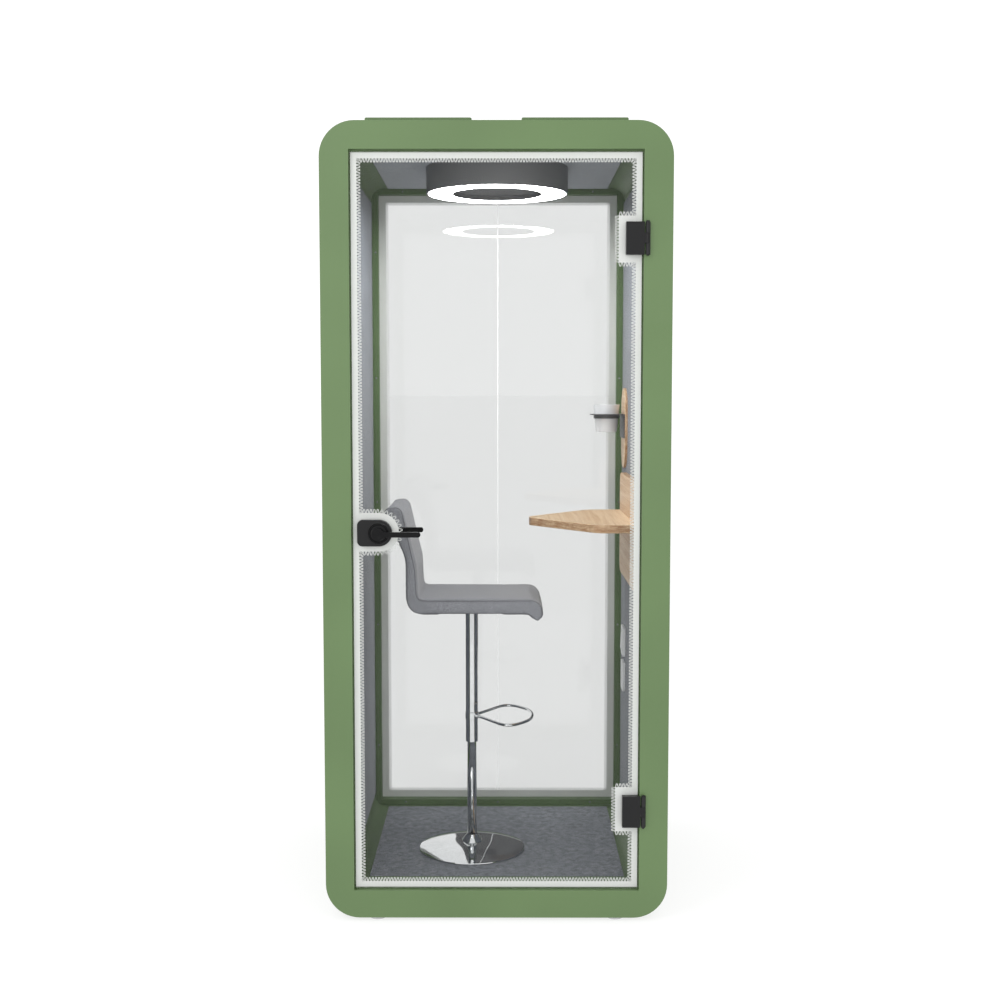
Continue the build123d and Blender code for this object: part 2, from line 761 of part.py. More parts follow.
with BuildPart() as desk_backboard:
    with BuildSketch(Plane.YZ.offset(desk_face)):
        with Locations((y_of(panel_middle), level((panel_low + panel_high) / 2))):
            RectangleRounded(2 * panel_half, panel_high - panel_low, panel_radius)
    extrude(amount=panel_thick)
    fillet(faces().sort_by(Axis.X)[0].edges(), 2)
    desk_rod_set(rod_radius + 2 * running, Mode.SUBTRACT)

with BuildPart() as desk_rods:
    desk_rod_set(rod_radius)

# ---- Pot holder ----
with BuildPart() as pot_disc:
    panel_swing = (panel_tall - panel_deep) / 2
    for rise in (-panel_swing, panel_swing):
        sideways((wall_x - disc_thick, wall_x), disc_behind, disc_height + rise, panel_deep / 2)
    block(
        (wall_x - disc_thick, wall_x),
        (disc_behind - panel_deep / 2, disc_behind + panel_deep / 2),
        (disc_height - panel_swing, disc_height + panel_swing),
    )
    fillet(faces().sort_by(Axis.X)[0].edges(), 3)


def pot_radius_at(z):
    return pot_foot_radius + (pot_top_radius - pot_foot_radius) * (z - pot_low) / (pot_high - pot_low)


holder_gap = 0.3
disc_front = wall_x - disc_thick
with BuildPart() as pot_bracket:
    upright(pot_x, disc_behind, (ring_high - ring_sheet, ring_high), ring_outer)
    upright(pot_x, disc_behind, (ring_low, ring_high), pot_radius_at(ring_high) + holder_gap + ring_wall)
    block((pot_x, disc_front), (disc_behind - ring_outer, disc_behind + ring_outer), (ring_high - ring_sheet, ring_high))
    block((disc_front - 4, disc_front), (disc_behind - panel_deep / 2, disc_behind + panel_deep / 2), (ring_high - 81, ring_high))
    with Locations((pot_x, y_of(disc_behind), level((ring_low + ring_high) / 2))):
        Cone(
            pot_radius_at(ring_low) + holder_gap,
            pot_radius_at(ring_high) + holder_gap,
            ring_high - ring_low,
            mode=Mode.SUBTRACT,
        )

with BuildPart() as pot:
    with BuildSketch(Plane.XZ.offset(-y_of(disc_behind))):
        with BuildLine():
            Polyline(
                (pot_x, level(pot_low)),
                (pot_x + pot_foot_radius, level(pot_low)),
                (pot_x + pot_top_radius, level(pot_high)),
                (pot_x + pot_top_radius - pot_wall, level(pot_high)),
                (pot_x + pot_foot_radius - pot_wall, level(pot_low + pot_wall)),
                (pot_x, level(pot_low + pot_wall)),
                close=True,
            )
        make_face()
    revolve(axis=Axis((pot_x, y_of(disc_behind), 0), (0, 0, 1)))

# ---- Switch and socket ----
plate_front = wall_x - plate_thick


def wall_plate(middle):
    with BuildSketch(Plane.YZ.offset(plate_front)) as plate_profile:
        with Locations((y_of(plate_behind), level(middle))):
            RectangleRounded(2 * plate_half, plate_tall, 8)
    return plate_profile.sketch


rocker_room = 1.2
with BuildPart() as switch_plate:
    extrude(wall_plate(switch_height), amount=plate_thick)
    fillet(faces().sort_by(Axis.X)[0].edges(), 2)
    block(
        (plate_front - 1, wall_x),
        (plate_behind - rocker_half - rocker_room, plate_behind + rocker_half + rocker_room),
        (switch_height - rocker_tall / 2 - rocker_room, switch_height + rocker_tall / 2 + rocker_room),
        Mode.SUBTRACT,
    )
    block(
        (wall_x - 2, wall_x),
        (plate_behind - rocker_half - rocker_room, plate_behind + rocker_half + rocker_room),
        (switch_height - 2, switch_height + 2),
    )

with BuildPart() as switch_rocker:
    with Locations(Location((plate_front, y_of(plate_behind), level(switch_height)), (0, rocker_tilt, 0))):
        Box(6, 2 * rocker_half, rocker_tall)
    fillet(edges().filter_by(Axis.Y), 1.5)
    block(
        (plate_front, wall_x - 2 - part_gap),
        (plate_behind - 14, plate_behind + 14),
        (switch_height - 1.5, switch_height + 1.5),
    )

with BuildPart() as socket_plate:
    extrude(wall_plate(socket_height), amount=plate_thick)
    fillet(faces().sort_by(Axis.X)[0].edges(), 2)
    for pin_y, pin_z, tilt in ((-6.5, 10, 0), (6.5, 10, 0), (0, -6, 90), (-9, -18, 30), (9, -18, -30)):
        spot = (plate_front, y_of(plate_behind + pin_y), level(socket_height + pin_z))
        with Locations(Location(spot, (tilt, 0, 0))):
            Box(12, 2.2, 7, mode=Mode.SUBTRACT)

with BuildPart() as wall_boxes:
    for middle in (switch_height, socket_height):
        box_y = (plate_behind - box_half, plate_behind + box_half)
        block((wall_x, wall_x + box_deep), box_y, (middle - box_half, middle + box_half))
        block(
            (wall_x, wall_x + box_deep - 2),
            (plate_behind - box_half + 2, plate_behind + box_half - 2),
            (middle - box_half + 2, middle + box_half - 2),
            Mode.SUBTRACT,
        )

# ---- Stool: fixed base and tube ----
stool_axis = Axis((stool_x, stool_y, 0), (0, 0, 1))
base_z = carpet_top
with BuildPart() as stool_base:
    with BuildSketch(Plane.XZ.offset(-stool_y)):
        with BuildLine():
            start = (stool_x + tube_radius, level(base_z))
            rim = (stool_x + base_radius, level(base_z))
            rim_top = (stool_x + base_radius, level(base_z + base_rim))
            dome_top = (stool_x + collar_radius, level(base_z + base_dome))
            collar = (stool_x + tube_radius + 2, level(base_z + collar_top))
            inner = (stool_x + tube_radius, level(base_z + collar_top))
            Polyline(start, rim, rim_top)
            mid_x = stool_x + (base_radius + collar_radius) / 2
            ThreePointArc(rim_top, (mid_x, level(base_z + base_rim + 0.66 * (base_dome - base_rim))), dome_top)
            Polyline(dome_top, collar, inner, start)
        make_face()
    revolve(axis=stool_axis)

tube_low = base_z
gland = 15.0
with BuildPart() as stool_tube:
    upright(stool_x, stool_behind, (tube_low, tube_top), tube_radius)
    upright(stool_x, stool_behind, (tube_low + 10, tube_top - gland), tube_bore, Mode.SUBTRACT)
    upright(stool_x, stool_behind, (tube_top - gland, tube_top), rod_r + running, Mode.SUBTRACT)

with BuildPart() as gas_rod:
    upright(stool_x, stool_behind, (rod_low, rod_top), rod_r)
    upright(stool_x, stool_behind, (rod_low, rod_low + 12), tube_bore - running)

# ---- Stool: turning seat ----
hub_tall = 30.0
guide = 40.0
with BuildPart() as stool_sleeve:
    upright(stool_x, stool_behind, (sleeve_low, rod_top), sleeve_radius)
    upright(stool_x, stool_behind, (sleeve_low, rod_top - hub_tall), sleeve_radius - sleeve_wall, Mode.SUBTRACT)
    upright(stool_x, stool_behind, (sleeve_low, sleeve_low + guide), sleeve_radius - sleeve_wall)
    upright(stool_x, stool_behind, (sleeve_low, sleeve_low + guide), tube_radius + part_gap, Mode.SUBTRACT)
    upright(stool_x, stool_behind, (rod_top - hub_tall, rod_top), rod_r + running, Mode.SUBTRACT)

with BuildPart() as footrest:
    rest_root = sleeve_radius + rest_wire
    with BuildLine(floor_plane(rest_height)) as rest_path:
        left_root = (stool_x + rest_root * 0.6, stool_y - rest_root * 0.8)
        right_root = (stool_x + rest_root * 0.6, stool_y + rest_root * 0.8)
        FilletPolyline(
            left_root,
            (stool_x + rest_out, stool_y - rest_half),
            (stool_x + rest_nose, stool_y - 60),
            (stool_x + rest_nose, stool_y + 60),
            (stool_x + rest_out, stool_y + rest_half),
            right_root,
            radius=30,
        )
    with BuildSketch(rest_path.line ^ 0):
        Circle(rest_wire)
    sweep()
    upright(stool_x, stool_behind, (rest_height - 12, rest_height + 12), rest_root)
    upright(stool_x, stool_behind, (rest_height - 12, rest_height + 12), sleeve_radius + running, Mode.SUBTRACT)

plate_half_x = 90.0
plate_half_y = 75.0
pull_x = stool_x + 40
pull_pivot = stool_behind + 20
pull_height = rod_top - 20
cheek = 2.0
with BuildPart() as seat_plate:
    block(
        (stool_x - plate_half_x, stool_x + plate_half_x),
        (stool_behind - plate_half_y, stool_behind + plate_half_y),
        (rod_top, seat_low),
    )
    for side in (-1, 1):
        near = pull_x + side * (lift_lever_radius + part_gap)
        far = near + side * cheek
        block((min(near, far), max(near, far)), (pull_pivot - 8, pull_pivot + 8), (pull_height - 6, rod_top))
    sideways((pull_x - 9, pull_x + 9), pull_pivot, pull_height, 1.5 + running, Mode.SUBTRACT)

with BuildPart() as seat_pad:
    with BuildSketch(Plane.XZ.offset(-(stool_y - seat_half))):
        with BuildLine():
            FilletPolyline(
                (stool_x + 180, level(seat_low)),
                (stool_x + 208, level(seat_low - 26)),
                (stool_x + 227, level(seat_low - 8)),
                (stool_x + 219, level(seat_top)),
                (stool_x - 165, level(seat_top)),
                (stool_x - 170, level(seat_top + 105)),
                (stool_x - 215, level(seat_top + 293)),
                (stool_x - 273, level(seat_top + 284)),
                (stool_x - 197, level(seat_top + 135)),
                (stool_x - 197, level(seat_low)),
                radius=[16, 8, 12, 36, 18, 120, 22, 12, 120, 40],
                close=True,
            )
        make_face()
    extrude(amount=-2 * seat_half)

with BuildPart() as lift_lever:
    inward(pull_x, (pull_pivot - 6, stool_behind + lift_lever_out), pull_height, lift_lever_radius)
    sideways((pull_x - 7, pull_x + 7), pull_pivot, pull_height, 1.5)

finished = {
    "front_frame": front_frame,
    "rear_frame": rear_frame,
    "corner_posts": corner_posts,
    "side_skins": side_skins,
    "roof_skin": roof_skin,
    "floor_skin": floor_skin,
    "insulation": insulation,
    "lining_boards": lining_boards,
    "floor_deck": floor_deck,
    "wall_felts": wall_felts,
    "ceiling_felt": ceiling_felt,
    "carpet": carpet,
    "levelling_feet": levelling_feet,
    "glazing_beads": glazing_beads,
    "bead_screws": bead_screws,
    "rear_glass_left": rear_glass_left,
    "rear_glass_right": rear_glass_right,
    "rear_seam": rear_seam,
    "rear_gasket": rear_gasket,
    "door_seal": door_seal,
    "door_glass": door_glass,
    "hinge_clamps": hinge_clamps,
    "hinge_screws": hinge_screws,
    "hinge_jamb_leaves": hinge_jamb_leaves,
    "hinge_pins": hinge_pins,
    "strike_plate": strike_plate,
    "lock_cases": lock_cases,
    "latch_bolt": latch_bolt,
    "privacy_turn": privacy_turn,
    "lever_outer": lever_outer,
    "lever_inner": lever_inner,
    "lamp_housing": lamp_housing,
    "lamp_diffuser": lamp_diffuser,
    "lamp_centre": lamp_centre,
    "lamp_board": lamp_board,
    "lamp_driver": lamp_driver,
    "roof_covers": roof_covers,
    "fan_housings": fan_housings,
    "fan_rotor_left": fan_rotor_left,
    "fan_rotor_right": fan_rotor_right,
    "ceiling_grilles": ceiling_grilles,
    "cable_gland": cable_gland,
    "desk_top": desk_top,
    "desk_backboard": desk_backboard,
    "desk_rods": desk_rods,
    "pot_disc": pot_disc,
    "pot_bracket": pot_bracket,
    "pot": pot,
    "switch_plate": switch_plate,
    "switch_rocker": switch_rocker,
    "socket_plate": socket_plate,
    "wall_boxes": wall_boxes,
    "stool_base": stool_base,
    "stool_tube": stool_tube,
    "gas_rod": gas_rod,
    "stool_sleeve": stool_sleeve,
    "footrest": footrest,
    "seat_plate": seat_plate,
    "seat_pad": seat_pad,
    "lift_lever": lift_lever,
}
for name, piece in finished.items():
    piece.part.label = name
    export_step(piece.part, f"parts/{name}.step")
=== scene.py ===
import json
from math import atan2, cos, pi, radians, sin, sqrt

import bmesh
import bpy
from mathutils import Matrix, Vector, noise

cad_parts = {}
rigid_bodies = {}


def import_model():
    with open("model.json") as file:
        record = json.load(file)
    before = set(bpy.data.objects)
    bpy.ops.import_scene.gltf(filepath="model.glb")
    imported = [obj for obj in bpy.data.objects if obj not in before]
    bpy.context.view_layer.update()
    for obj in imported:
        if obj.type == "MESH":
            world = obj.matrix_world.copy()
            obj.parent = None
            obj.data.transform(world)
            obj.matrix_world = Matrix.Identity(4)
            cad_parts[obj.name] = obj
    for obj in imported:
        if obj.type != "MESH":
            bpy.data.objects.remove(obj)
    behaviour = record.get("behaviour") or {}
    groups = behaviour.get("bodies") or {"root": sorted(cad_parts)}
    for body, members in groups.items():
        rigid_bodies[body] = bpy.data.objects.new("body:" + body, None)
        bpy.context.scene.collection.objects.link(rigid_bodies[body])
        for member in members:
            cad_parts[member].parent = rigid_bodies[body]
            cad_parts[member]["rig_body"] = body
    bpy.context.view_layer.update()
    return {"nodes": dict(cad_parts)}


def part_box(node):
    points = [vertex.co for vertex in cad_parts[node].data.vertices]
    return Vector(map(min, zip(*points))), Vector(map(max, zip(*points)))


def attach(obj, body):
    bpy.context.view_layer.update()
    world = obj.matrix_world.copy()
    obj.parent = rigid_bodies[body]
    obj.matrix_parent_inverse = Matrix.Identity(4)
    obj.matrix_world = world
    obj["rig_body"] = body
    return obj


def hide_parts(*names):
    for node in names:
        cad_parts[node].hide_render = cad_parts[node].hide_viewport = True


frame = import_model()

nodes = frame["nodes"]
scene = bpy.context.scene
scene.view_settings.view_transform = "Standard"
print("frame loaded:", len(nodes), "nodes")


def linked(name, data):
    made = bpy.data.objects.new(name, data)
    scene.collection.objects.link(made)
    return made


# camera, first
view = {
    "place": (0.0207, -4.4523, 1.5528), "down": 0.0784, "roll": 0.0026,
    "lens": 50.18, "sensor": 36.0, "far": 900,
}
cameraData = bpy.data.cameras.new("camera")
cameraData.lens = view["lens"]
cameraData.sensor_width = view["sensor"]
cameraData.clip_end = view["far"]
camera = linked("camera", cameraData)
camera.location = view["place"]
camera.rotation_euler = (pi / 2 - view["down"], 0, view["roll"])
scene.camera = camera


# shader helpers
class Value:
    # a socket that takes part in plain sums
    def __init__(self, finish, socket):
        self.finish, self.socket = finish, socket

    def sum(self, operation, *terms):
        return self.finish.node("Math", {"operation": operation}, dict(enumerate(terms)))

    def __add__(self, other):
        return self.sum("ADD", self, other)

    def __rsub__(self, other):
        return self.sum("SUBTRACT", other, self)

    def __mul__(self, other):
        return self.sum("MULTIPLY", self, other)

    def __pow__(self, other):
        return self.sum("POWER", self, other)

    def __gt__(self, other):
        return self.sum("GREATER_THAN", self, other)

    def __abs__(self):
        return self.sum("ABSOLUTE", self)

    def sine(self):
        return self.sum("SINE", self)


class Finish:
    # one material and its nodes
    def __init__(self, name):
        self.material = bpy.data.materials.new(name)
        self.material.use_nodes = True
        self.tree = self.material.node_tree
        self.tree.nodes.clear()

    def node(self, kind, settings=None, inputs=None, output=0):
        made = self.tree.nodes.new("ShaderNode" + kind)
        for key, value in (settings or {}).items():
            setattr(made, key, value)
        for key, value in (inputs or {}).items():
            if isinstance(value, Value):
                self.tree.links.new(value.socket, made.inputs[key])
            else:
                made.inputs[key].default_value = value
        return Value(self, made.outputs[output])

    def place(self, scale=(1, 1, 1)):
        spot = self.node("TexCoord", output="Object")
        return self.node("Mapping", {}, {"Vector": spot, "Scale": scale})

    def noise(self, scale, detail=3.0, roughness=0.5, at=None, distortion=0.0):
        return self.node("TexNoise", {}, {
            "Vector": at or self.place(), "Scale": scale, "Detail": detail,
            "Roughness": roughness, "Distortion": distortion,
        })

    def blend(self, factor, first, second):
        return self.node("Mix", {"data_type": "RGBA"}, {0: factor, 6: first, 7: second}, output=2)

    # plain noise lies mostly between 0.3 and 0.7
    def spread(self, value, low=0.3, high=0.7, floor=0.0, top=1.0):
        return self.node("MapRange", {}, {0: value, 1: low, 2: high, 3: floor, 4: top})

    def bump(self, height, strength, distance):
        return self.node("Bump", {}, {"Height": height, "Strength": strength, "Distance": distance})

    def surface(self, **sockets):
        names = {key.replace("_", " "): value for key, value in sockets.items()}
        return self.node("BsdfPrincipled", {}, names)

    def done(self, shader):
        out = self.tree.nodes.new("ShaderNodeOutputMaterial")
        self.tree.links.new(shader.socket, out.inputs["Surface"])
        return self.material


def colour(red, green, blue):
    # screen values 0 to 255 to the renderer's own
    def straight(v):
        v = v / 255
        return v / 12.92 if v <= 0.04045 else ((v + 0.055) / 1.055) ** 2.4
    return (straight(red), straight(green), straight(blue), 1.0)


def scaled(tone, share):
    return tuple(min(1.0, c * share) for c in tone[:3]) + (1.0,)


# finishes: scales are noise sizes, deep is the bump's height in metres
coat = {"drift": 2.2, "dark": 0.94, "light": 1.05, "grit": 0.12, "smear": 90.0, "deep": 0.0004}


def powderCoat(name, look, gloss=0.42):
    f = Finish(name)
    drift = f.noise(coat["drift"], 2.0)
    dark, light = scaled(look["base"], coat["dark"]), scaled(look["base"], coat["light"])
    grit = f.noise(look["peelScale"], 2.0, 0.6)
    tone = f.blend(f.spread(drift, 0.35, 0.65), dark, light)
    tone = f.blend(f.spread(grit, top=coat["grit"]), tone, light)
    rough = f.spread(f.noise(coat["smear"]), floor=gloss - 0.04, top=gloss + 0.06)
    return f.done(f.surface(Base_Color=tone, Roughness=rough,
                            Normal=f.bump(grit, look["peel"], coat["deep"])))


plate = {"marks": 40.0, "shade": 0.93, "fine": 900.0, "plain": 0.03, "brushed": 0.12, "deep": 0.0001}


def metal(name, base, gloss, brushed=None, smear=0.04):
    f = Finish(name)
    marks = f.noise(plate["marks"], 4.0, 0.6)
    rough = f.spread(marks, floor=gloss, top=gloss + smear)
    tone = f.blend(f.spread(marks, 0.35), base, scaled(base, plate["shade"]))
    fine = f.noise(plate["fine"], 2.0, at=f.place(brushed or (1, 1, 1)))
    strength = plate["brushed"] if brushed else plate["plain"]
    return f.done(f.surface(Base_Color=tone, Metallic=1.0, Roughness=rough,
                            Normal=f.bump(fine, strength, plate["deep"])))


moulded = {"broad": 14.0, "shade": 0.9, "cloud": 0.6, "deep": 0.0002}


def plastic(name, base, gloss, grain=0.08, scale=1400.0, shine=0.5):
    f = Finish(name)
    fine = f.noise(scale, 2.0)
    broad = f.noise(moulded["broad"])
    tone = f.blend(f.spread(broad, top=moulded["cloud"]), base, scaled(base, moulded["shade"]))
    rough = f.spread(broad, floor=gloss - 0.04, top=gloss + 0.05)
    return f.done(f.surface(Base_Color=tone, Roughness=rough, Specular_IOR_Level=shine,
                            Normal=f.bump(fine, grain, moulded["deep"])))


matted = {
    "fibre": 520.0, "cross": 480.0, "detail": 5.0, "coarse": 0.75, "long": 0.25, "curl": 1.2,
    "blotch": 26.0, "strength": 0.55, "deep": 0.0012,
}


def feltFinish(name, base, fleck, pale):
    f = Finish(name)
    grain = {"detail": matted["detail"], "roughness": matted["coarse"], "distortion": matted["curl"]}
    fibre = f.noise(matted["fibre"], at=f.place((1, 1, matted["long"])), **grain)
    cross = f.noise(matted["cross"], at=f.place((1, matted["long"], 1)), **grain)
    blotch = f.noise(matted["blotch"], 4.0, 0.6)
    tone = f.blend(f.spread(fibre, 0.36, 0.64), fleck, base)
    tone = f.blend(f.spread(cross, 0.5, 0.74, top=0.75), tone, pale)
    tone = f.blend(f.spread(blotch, top=0.28), tone, fleck)
    return f.done(f.surface(Base_Color=tone, Roughness=0.95, Sheen_Weight=0.25, Sheen_Roughness=0.6,
                            Specular_IOR_Level=0.2,
                            Normal=f.bump(fibre + cross * 0.8, matted["strength"], matted["deep"])))


loops = {"tuft": 330.0, "loose": 0.9, "blotch": 48.0, "wide": 11.0, "yarn": 420.0, "strength": 0.8, "deep": 0.002}


def carpetFinish(name, base, dark, pale):
    f = Finish(name)
    tuft = f.node("TexVoronoi", {"feature": "F1"},
                  {"Vector": f.place(), "Scale": loops["tuft"], "Randomness": loops["loose"]})
    blotch = f.noise(loops["blotch"], 4.0, 0.65, distortion=0.6)
    wide = f.noise(loops["wide"], 3.0, 0.6)
    yarn = f.noise(loops["yarn"], 3.0, 0.7)
    tone = f.blend(f.spread(blotch, 0.36, 0.64), dark, pale)
    tone = f.blend(f.spread(wide, floor=0.1, top=0.5), tone, base)
    tone = f.blend(f.spread(yarn, 0.42, 0.62, top=0.35), tone, dark)
    # painted shade: darker away from each tuft's centre, where the bump sinks into the gaps between the loops
    tone = f.blend(f.spread(tuft, 0.0, 0.9, top=0.55), tone, dark)
    height = (1.0 - tuft) + yarn * 0.5
    return f.done(f.surface(Base_Color=tone, Roughness=0.97, Sheen_Weight=0.2, Sheen_Roughness=0.7,
                            Specular_IOR_Level=0.15, Normal=f.bump(height, loops["strength"], loops["deep"])))


board = {
    "across": {"X": (8, 1.0, 30), "Z": (30, 1.0, 8)}, "ends": {"X": (60, 9, 9), "Z": (9, 9, 60)},
    "grain": 1.9, "line": 7.5, "pore": 42.0, "ply": 3.0, "blot": 70.0, "turnAt": 0.6,
    "strength": 0.12, "deep": 0.0006,
}


def woodFinish(name, look, thick):
    # grain runs along Y; thick is the axis through the board
    f = Finish(name)
    across = board["across"][thick]
    grain = f.noise(board["grain"], 6.0, 0.62, f.place(across), 0.7)
    lineScale = tuple(v * 1.3 if v > 1 else v * 0.55 for v in across)
    poreScale = tuple(v * 0.8 if v > 1 else v * 0.5 for v in across)
    line = f.noise(board["line"], 3.0, 0.55, f.place(lineScale), 0.3)
    pore = f.noise(board["pore"], 2.0, 0.6, f.place(poreScale))
    tone = f.blend(f.spread(grain, 0.34, 0.66), look["early"], look["late"])
    tone = f.blend(f.spread(line, 0.5, 0.72, top=0.45), tone, look["late"])
    tone = f.blend(f.spread(pore, 0.66, 0.8, top=0.35), tone, look["pore"])
    facing = f.node("SeparateXYZ", {}, {0: f.node("TexCoord", output="Normal")}, output=thick)
    edge = 1.0 - (abs(facing) > board["turnAt"])
    ply = f.noise(board["ply"], 4.0, 0.6, f.place(board["ends"][thick]), 0.4)
    endTone = f.blend(f.spread(ply, 0.36, 0.64), look["end"], look["endDark"])
    blot = f.noise(board["blot"], 3.0, 0.7)
    endTone = f.blend(f.spread(blot, 0.42, top=0.55), endTone, look["endDark"])
    tone = f.blend(edge, tone, endTone)
    rough = f.spread(grain, floor=0.42, top=0.52)
    return f.done(f.surface(Base_Color=tone, Roughness=rough, Coat_Weight=0.12, Coat_Roughness=0.3,
                            Normal=f.bump(line + pore * 0.6, board["strength"], board["deep"])))


def paneFinish(name, look):
    # thin sheet: what is behind it shows through a tint, and the skin reflects more at a slant
    f = Finish(name)
    facing = f.node("LayerWeight", {}, {"Blend": 0.5}, output="Facing")
    wipe = f.noise(3.0, 4.0, 0.55)
    share = (facing ** look["power"]) * look["slant"] + look["mirror"] + f.spread(wipe, top=look["wipe"])
    through = f.node("BsdfTransparent", {}, {"Color": look["tint"]})
    skin = f.node("BsdfGlossy", {}, {"Color": (1, 1, 1, 1), "Roughness": look["haze"]})
    return f.done(f.node("MixShader", {}, {0: share, 1: through, 2: skin}))


def printFinish(name, base):
    f = Finish(name)
    speck = f.noise(300.0)
    tone = f.blend(f.spread(speck, top=0.5), base, scaled(base, 0.93))
    return f.done(f.surface(Base_Color=tone, Roughness=0.4, Normal=f.bump(speck, 0.05, 0.0001)))


def glowFinish(name, tone, strength):
    f = Finish(name)
    light = f.blend(f.spread(f.noise(3.0, 2.0)), tone, scaled(tone, 0.97))
    return f.done(f.surface(Base_Color=(0.9, 0.9, 0.9, 1), Roughness=0.5,
                            Emission_Color=light, Emission_Strength=strength))


weave = {"fast": 900, "slow": 160, "shadow": 16.0, "mottle": 340.0, "strength": 0.45, "deep": 0.0005}


def heatherFinish(name, look):
    # plain weave from the piece's own map, with flecked yarns
    f = Finish(name)
    spot = f.node("TexCoord", output="UV")
    u = f.node("SeparateXYZ", {}, {0: spot}, output="X")
    v = f.node("SeparateXYZ", {}, {0: spot}, output="Y")
    step = 2 * pi / look["thread"]
    over = (u * step).sine() * (v * step).sine()
    along, cross = (
        f.noise(1.0, 4.0, 0.7, f.node("Mapping", {}, {"Vector": spot, "Scale": scale}))
        for scale in ((weave["fast"], weave["slow"], 1), (weave["slow"], weave["fast"], 1))
    )
    mottle = f.noise(weave["mottle"], 1.0, 0.6)
    tone = f.blend(f.spread(along, 0.36, 0.64), look["dark"], look["base"])
    tone = f.blend(f.spread(cross, 0.46, 0.72, top=0.7), tone, look["pale"])
    tone = f.blend(f.spread(over, -1.0, 1.0, top=0.35), tone, look["dark"])
    tone = f.blend(f.spread(f.noise(weave["shadow"]), top=0.2), tone, look["dark"])
    tone = f.blend(f.spread(mottle, 0.50, 0.64, top=0.22), tone, look["pale"])
    tone = f.blend(f.spread(mottle, 0.50, 0.36, top=0.26), tone, look["dark"])
    height = over * 0.6 + along * 0.8
    return f.done(f.surface(Base_Color=tone, Roughness=0.9, Sheen_Weight=0.35, Sheen_Roughness=0.45,
                            Specular_IOR_Level=0.25, Normal=f.bump(height, weave["strength"], weave["deep"])))


greenPaint = {"base": colour(86, 109, 69), "peelScale": 620.0, "peel": 0.10}
greyLamp = {"base": colour(114, 114, 115), "peelScale": 700.0, "peel": 0.04}
greyBracket = {"base": colour(86, 87, 89), "peelScale": 800.0, "peel": 0.06}
beech = {
    "early": colour(240, 216, 184), "late": colour(208, 172, 132), "pore": colour(166, 128, 92),
    "end": colour(220, 190, 154), "endDark": colour(164, 120, 80),
}
liner = {
    "early": colour(190, 160, 124), "late": colour(170, 138, 104), "pore": colour(130, 100, 74),
    "end": colour(160, 128, 94), "endDark": colour(126, 98, 70),
}
fabric = {"base": colour(149, 150, 155), "dark": colour(109, 110, 116), "pale": colour(193, 194, 199),
          "thread": 0.0016}
pane = {"tint": (0.915, 0.918, 0.917, 1), "mirror": 0.010, "haze": 0.0, "power": 5.0, "slant": 0.9, "wipe": 0.002}

finishes = {
    "green_metal": powderCoat("greenPowderCoat", greenPaint),
    "galvanised": metal("zincSheet", (0.55, 0.57, 0.58, 1), 0.38, smear=0.15),
    "black_metal": plastic("blackHinge", colour(30, 30, 31), 0.45, shine=0.3),
    "black_alloy": plastic("blackAlloy", colour(22, 22, 23), 0.38, 0.05, shine=0.25),
    "leverBlack": plastic("blackLever", colour(14, 14, 15), 0.22, 0.03, shine=0.14),
    "steel": metal("turnedSteel", (0.6, 0.6, 0.61, 1), 0.22, (1, 1, 8)),
    "chrome": metal("chromePlate", (0.86, 0.87, 0.88, 1), 0.03, smear=0.03),
    "door_pane": paneFinish("doorPane", pane),
    "rear_pane": paneFinish("rearPane", {**pane, "mirror": 0.022}),
    # the joint between the rear panes glows though it is no lamp: painted light that makes the seam read white
    "clear_joint": glowFinish("paneSeam", (1, 1, 1, 1), 0.5),
    "rubber": plastic("blackRubber", colour(30, 31, 32), 0.6, 0.15),
    "wool": feltFinish("mineralWool", colour(190, 176, 120), colour(150, 136, 90), colour(214, 202, 150)),
    "board": woodFinish("linerBoard", liner, "Z"),
    "wall_felt": feltFinish("wallFelt", colour(119, 125, 134), colour(79, 85, 95), colour(168, 174, 182)),
    "ceiling_felt": feltFinish("ceilingFelt", colour(164, 169, 175), colour(122, 127, 135), colour(206, 211, 218)),
    "carpet": carpetFinish("loopCarpet", colour(126, 131, 139), colour(88, 93, 102), colour(176, 181, 189)),
    "lamp_grey": powderCoat("lampGrey", greyLamp, 0.5),
    "lens": glowFinish("lampLens", (1.0, 0.998, 0.99, 1), 33.0),
    "electronics": plastic("circuitBoard", colour(226, 228, 224), 0.5),
    "black_plastic": plastic("blackPlastic", colour(34, 34, 35), 0.5),
    "wood": woodFinish("beechBoard", beech, "Z"),
    "bracket_grey": powderCoat("bracketGrey", greyBracket, 0.4),
    "pot_glaze": plastic("potGlaze", colour(236, 237, 239), 0.22, 0.03, 300.0),
    "white_plastic": plastic("whitePlastic", colour(236, 237, 238), 0.32, 0.03),
    "seat_fabric": heatherFinish("heatherCloth", fabric),
    "wallWood": woodFinish("beechPanel", beech, "X"),
    "frit": printFinish("whitePrint", (0.64, 0.65, 0.63, 1)),
    # the piping cord's darker grey is painted shade along the seat's seam crease
    "piping": plastic("pipingCord", colour(104, 105, 110), 0.85, 0.4, 2600.0),
}
print("finishes made:", len(finishes))

# mesh helpers
weld = 0.000004


def asPiece(name, bm, body, slot, finish=None, smooth=40):
    mesh = bpy.data.meshes.new(name)
    bm.to_mesh(mesh)
    bm.free()
    piece = linked(name, mesh)
    mesh.materials.append(finishes[finish or slot])
    for face in mesh.polygons:
        face.use_smooth = smooth is not None
    if smooth is not None:
        mesh.set_sharp_from_angle(angle=radians(smooth))
    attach(piece, body)
    return piece


def evenNormals(piece):
    keep = piece.modifiers.new("evenNormals", "WEIGHTED_NORMAL")
    keep.keep_sharp = True
    keep.weight = 60


def sharpEdges(bm, degrees):
    return [e for e in bm.edges if len(e.link_faces) == 2 and e.calc_face_angle(0) > radians(degrees)]


def roundOff(bm, edges, offset, steps, clamp=False):
    bmesh.ops.bevel(bm, geom=edges, offset=offset, offset_type="OFFSET", segments=steps, profile=0.5,
                    affect="EDGES", clamp_overlap=clamp, material=-1)


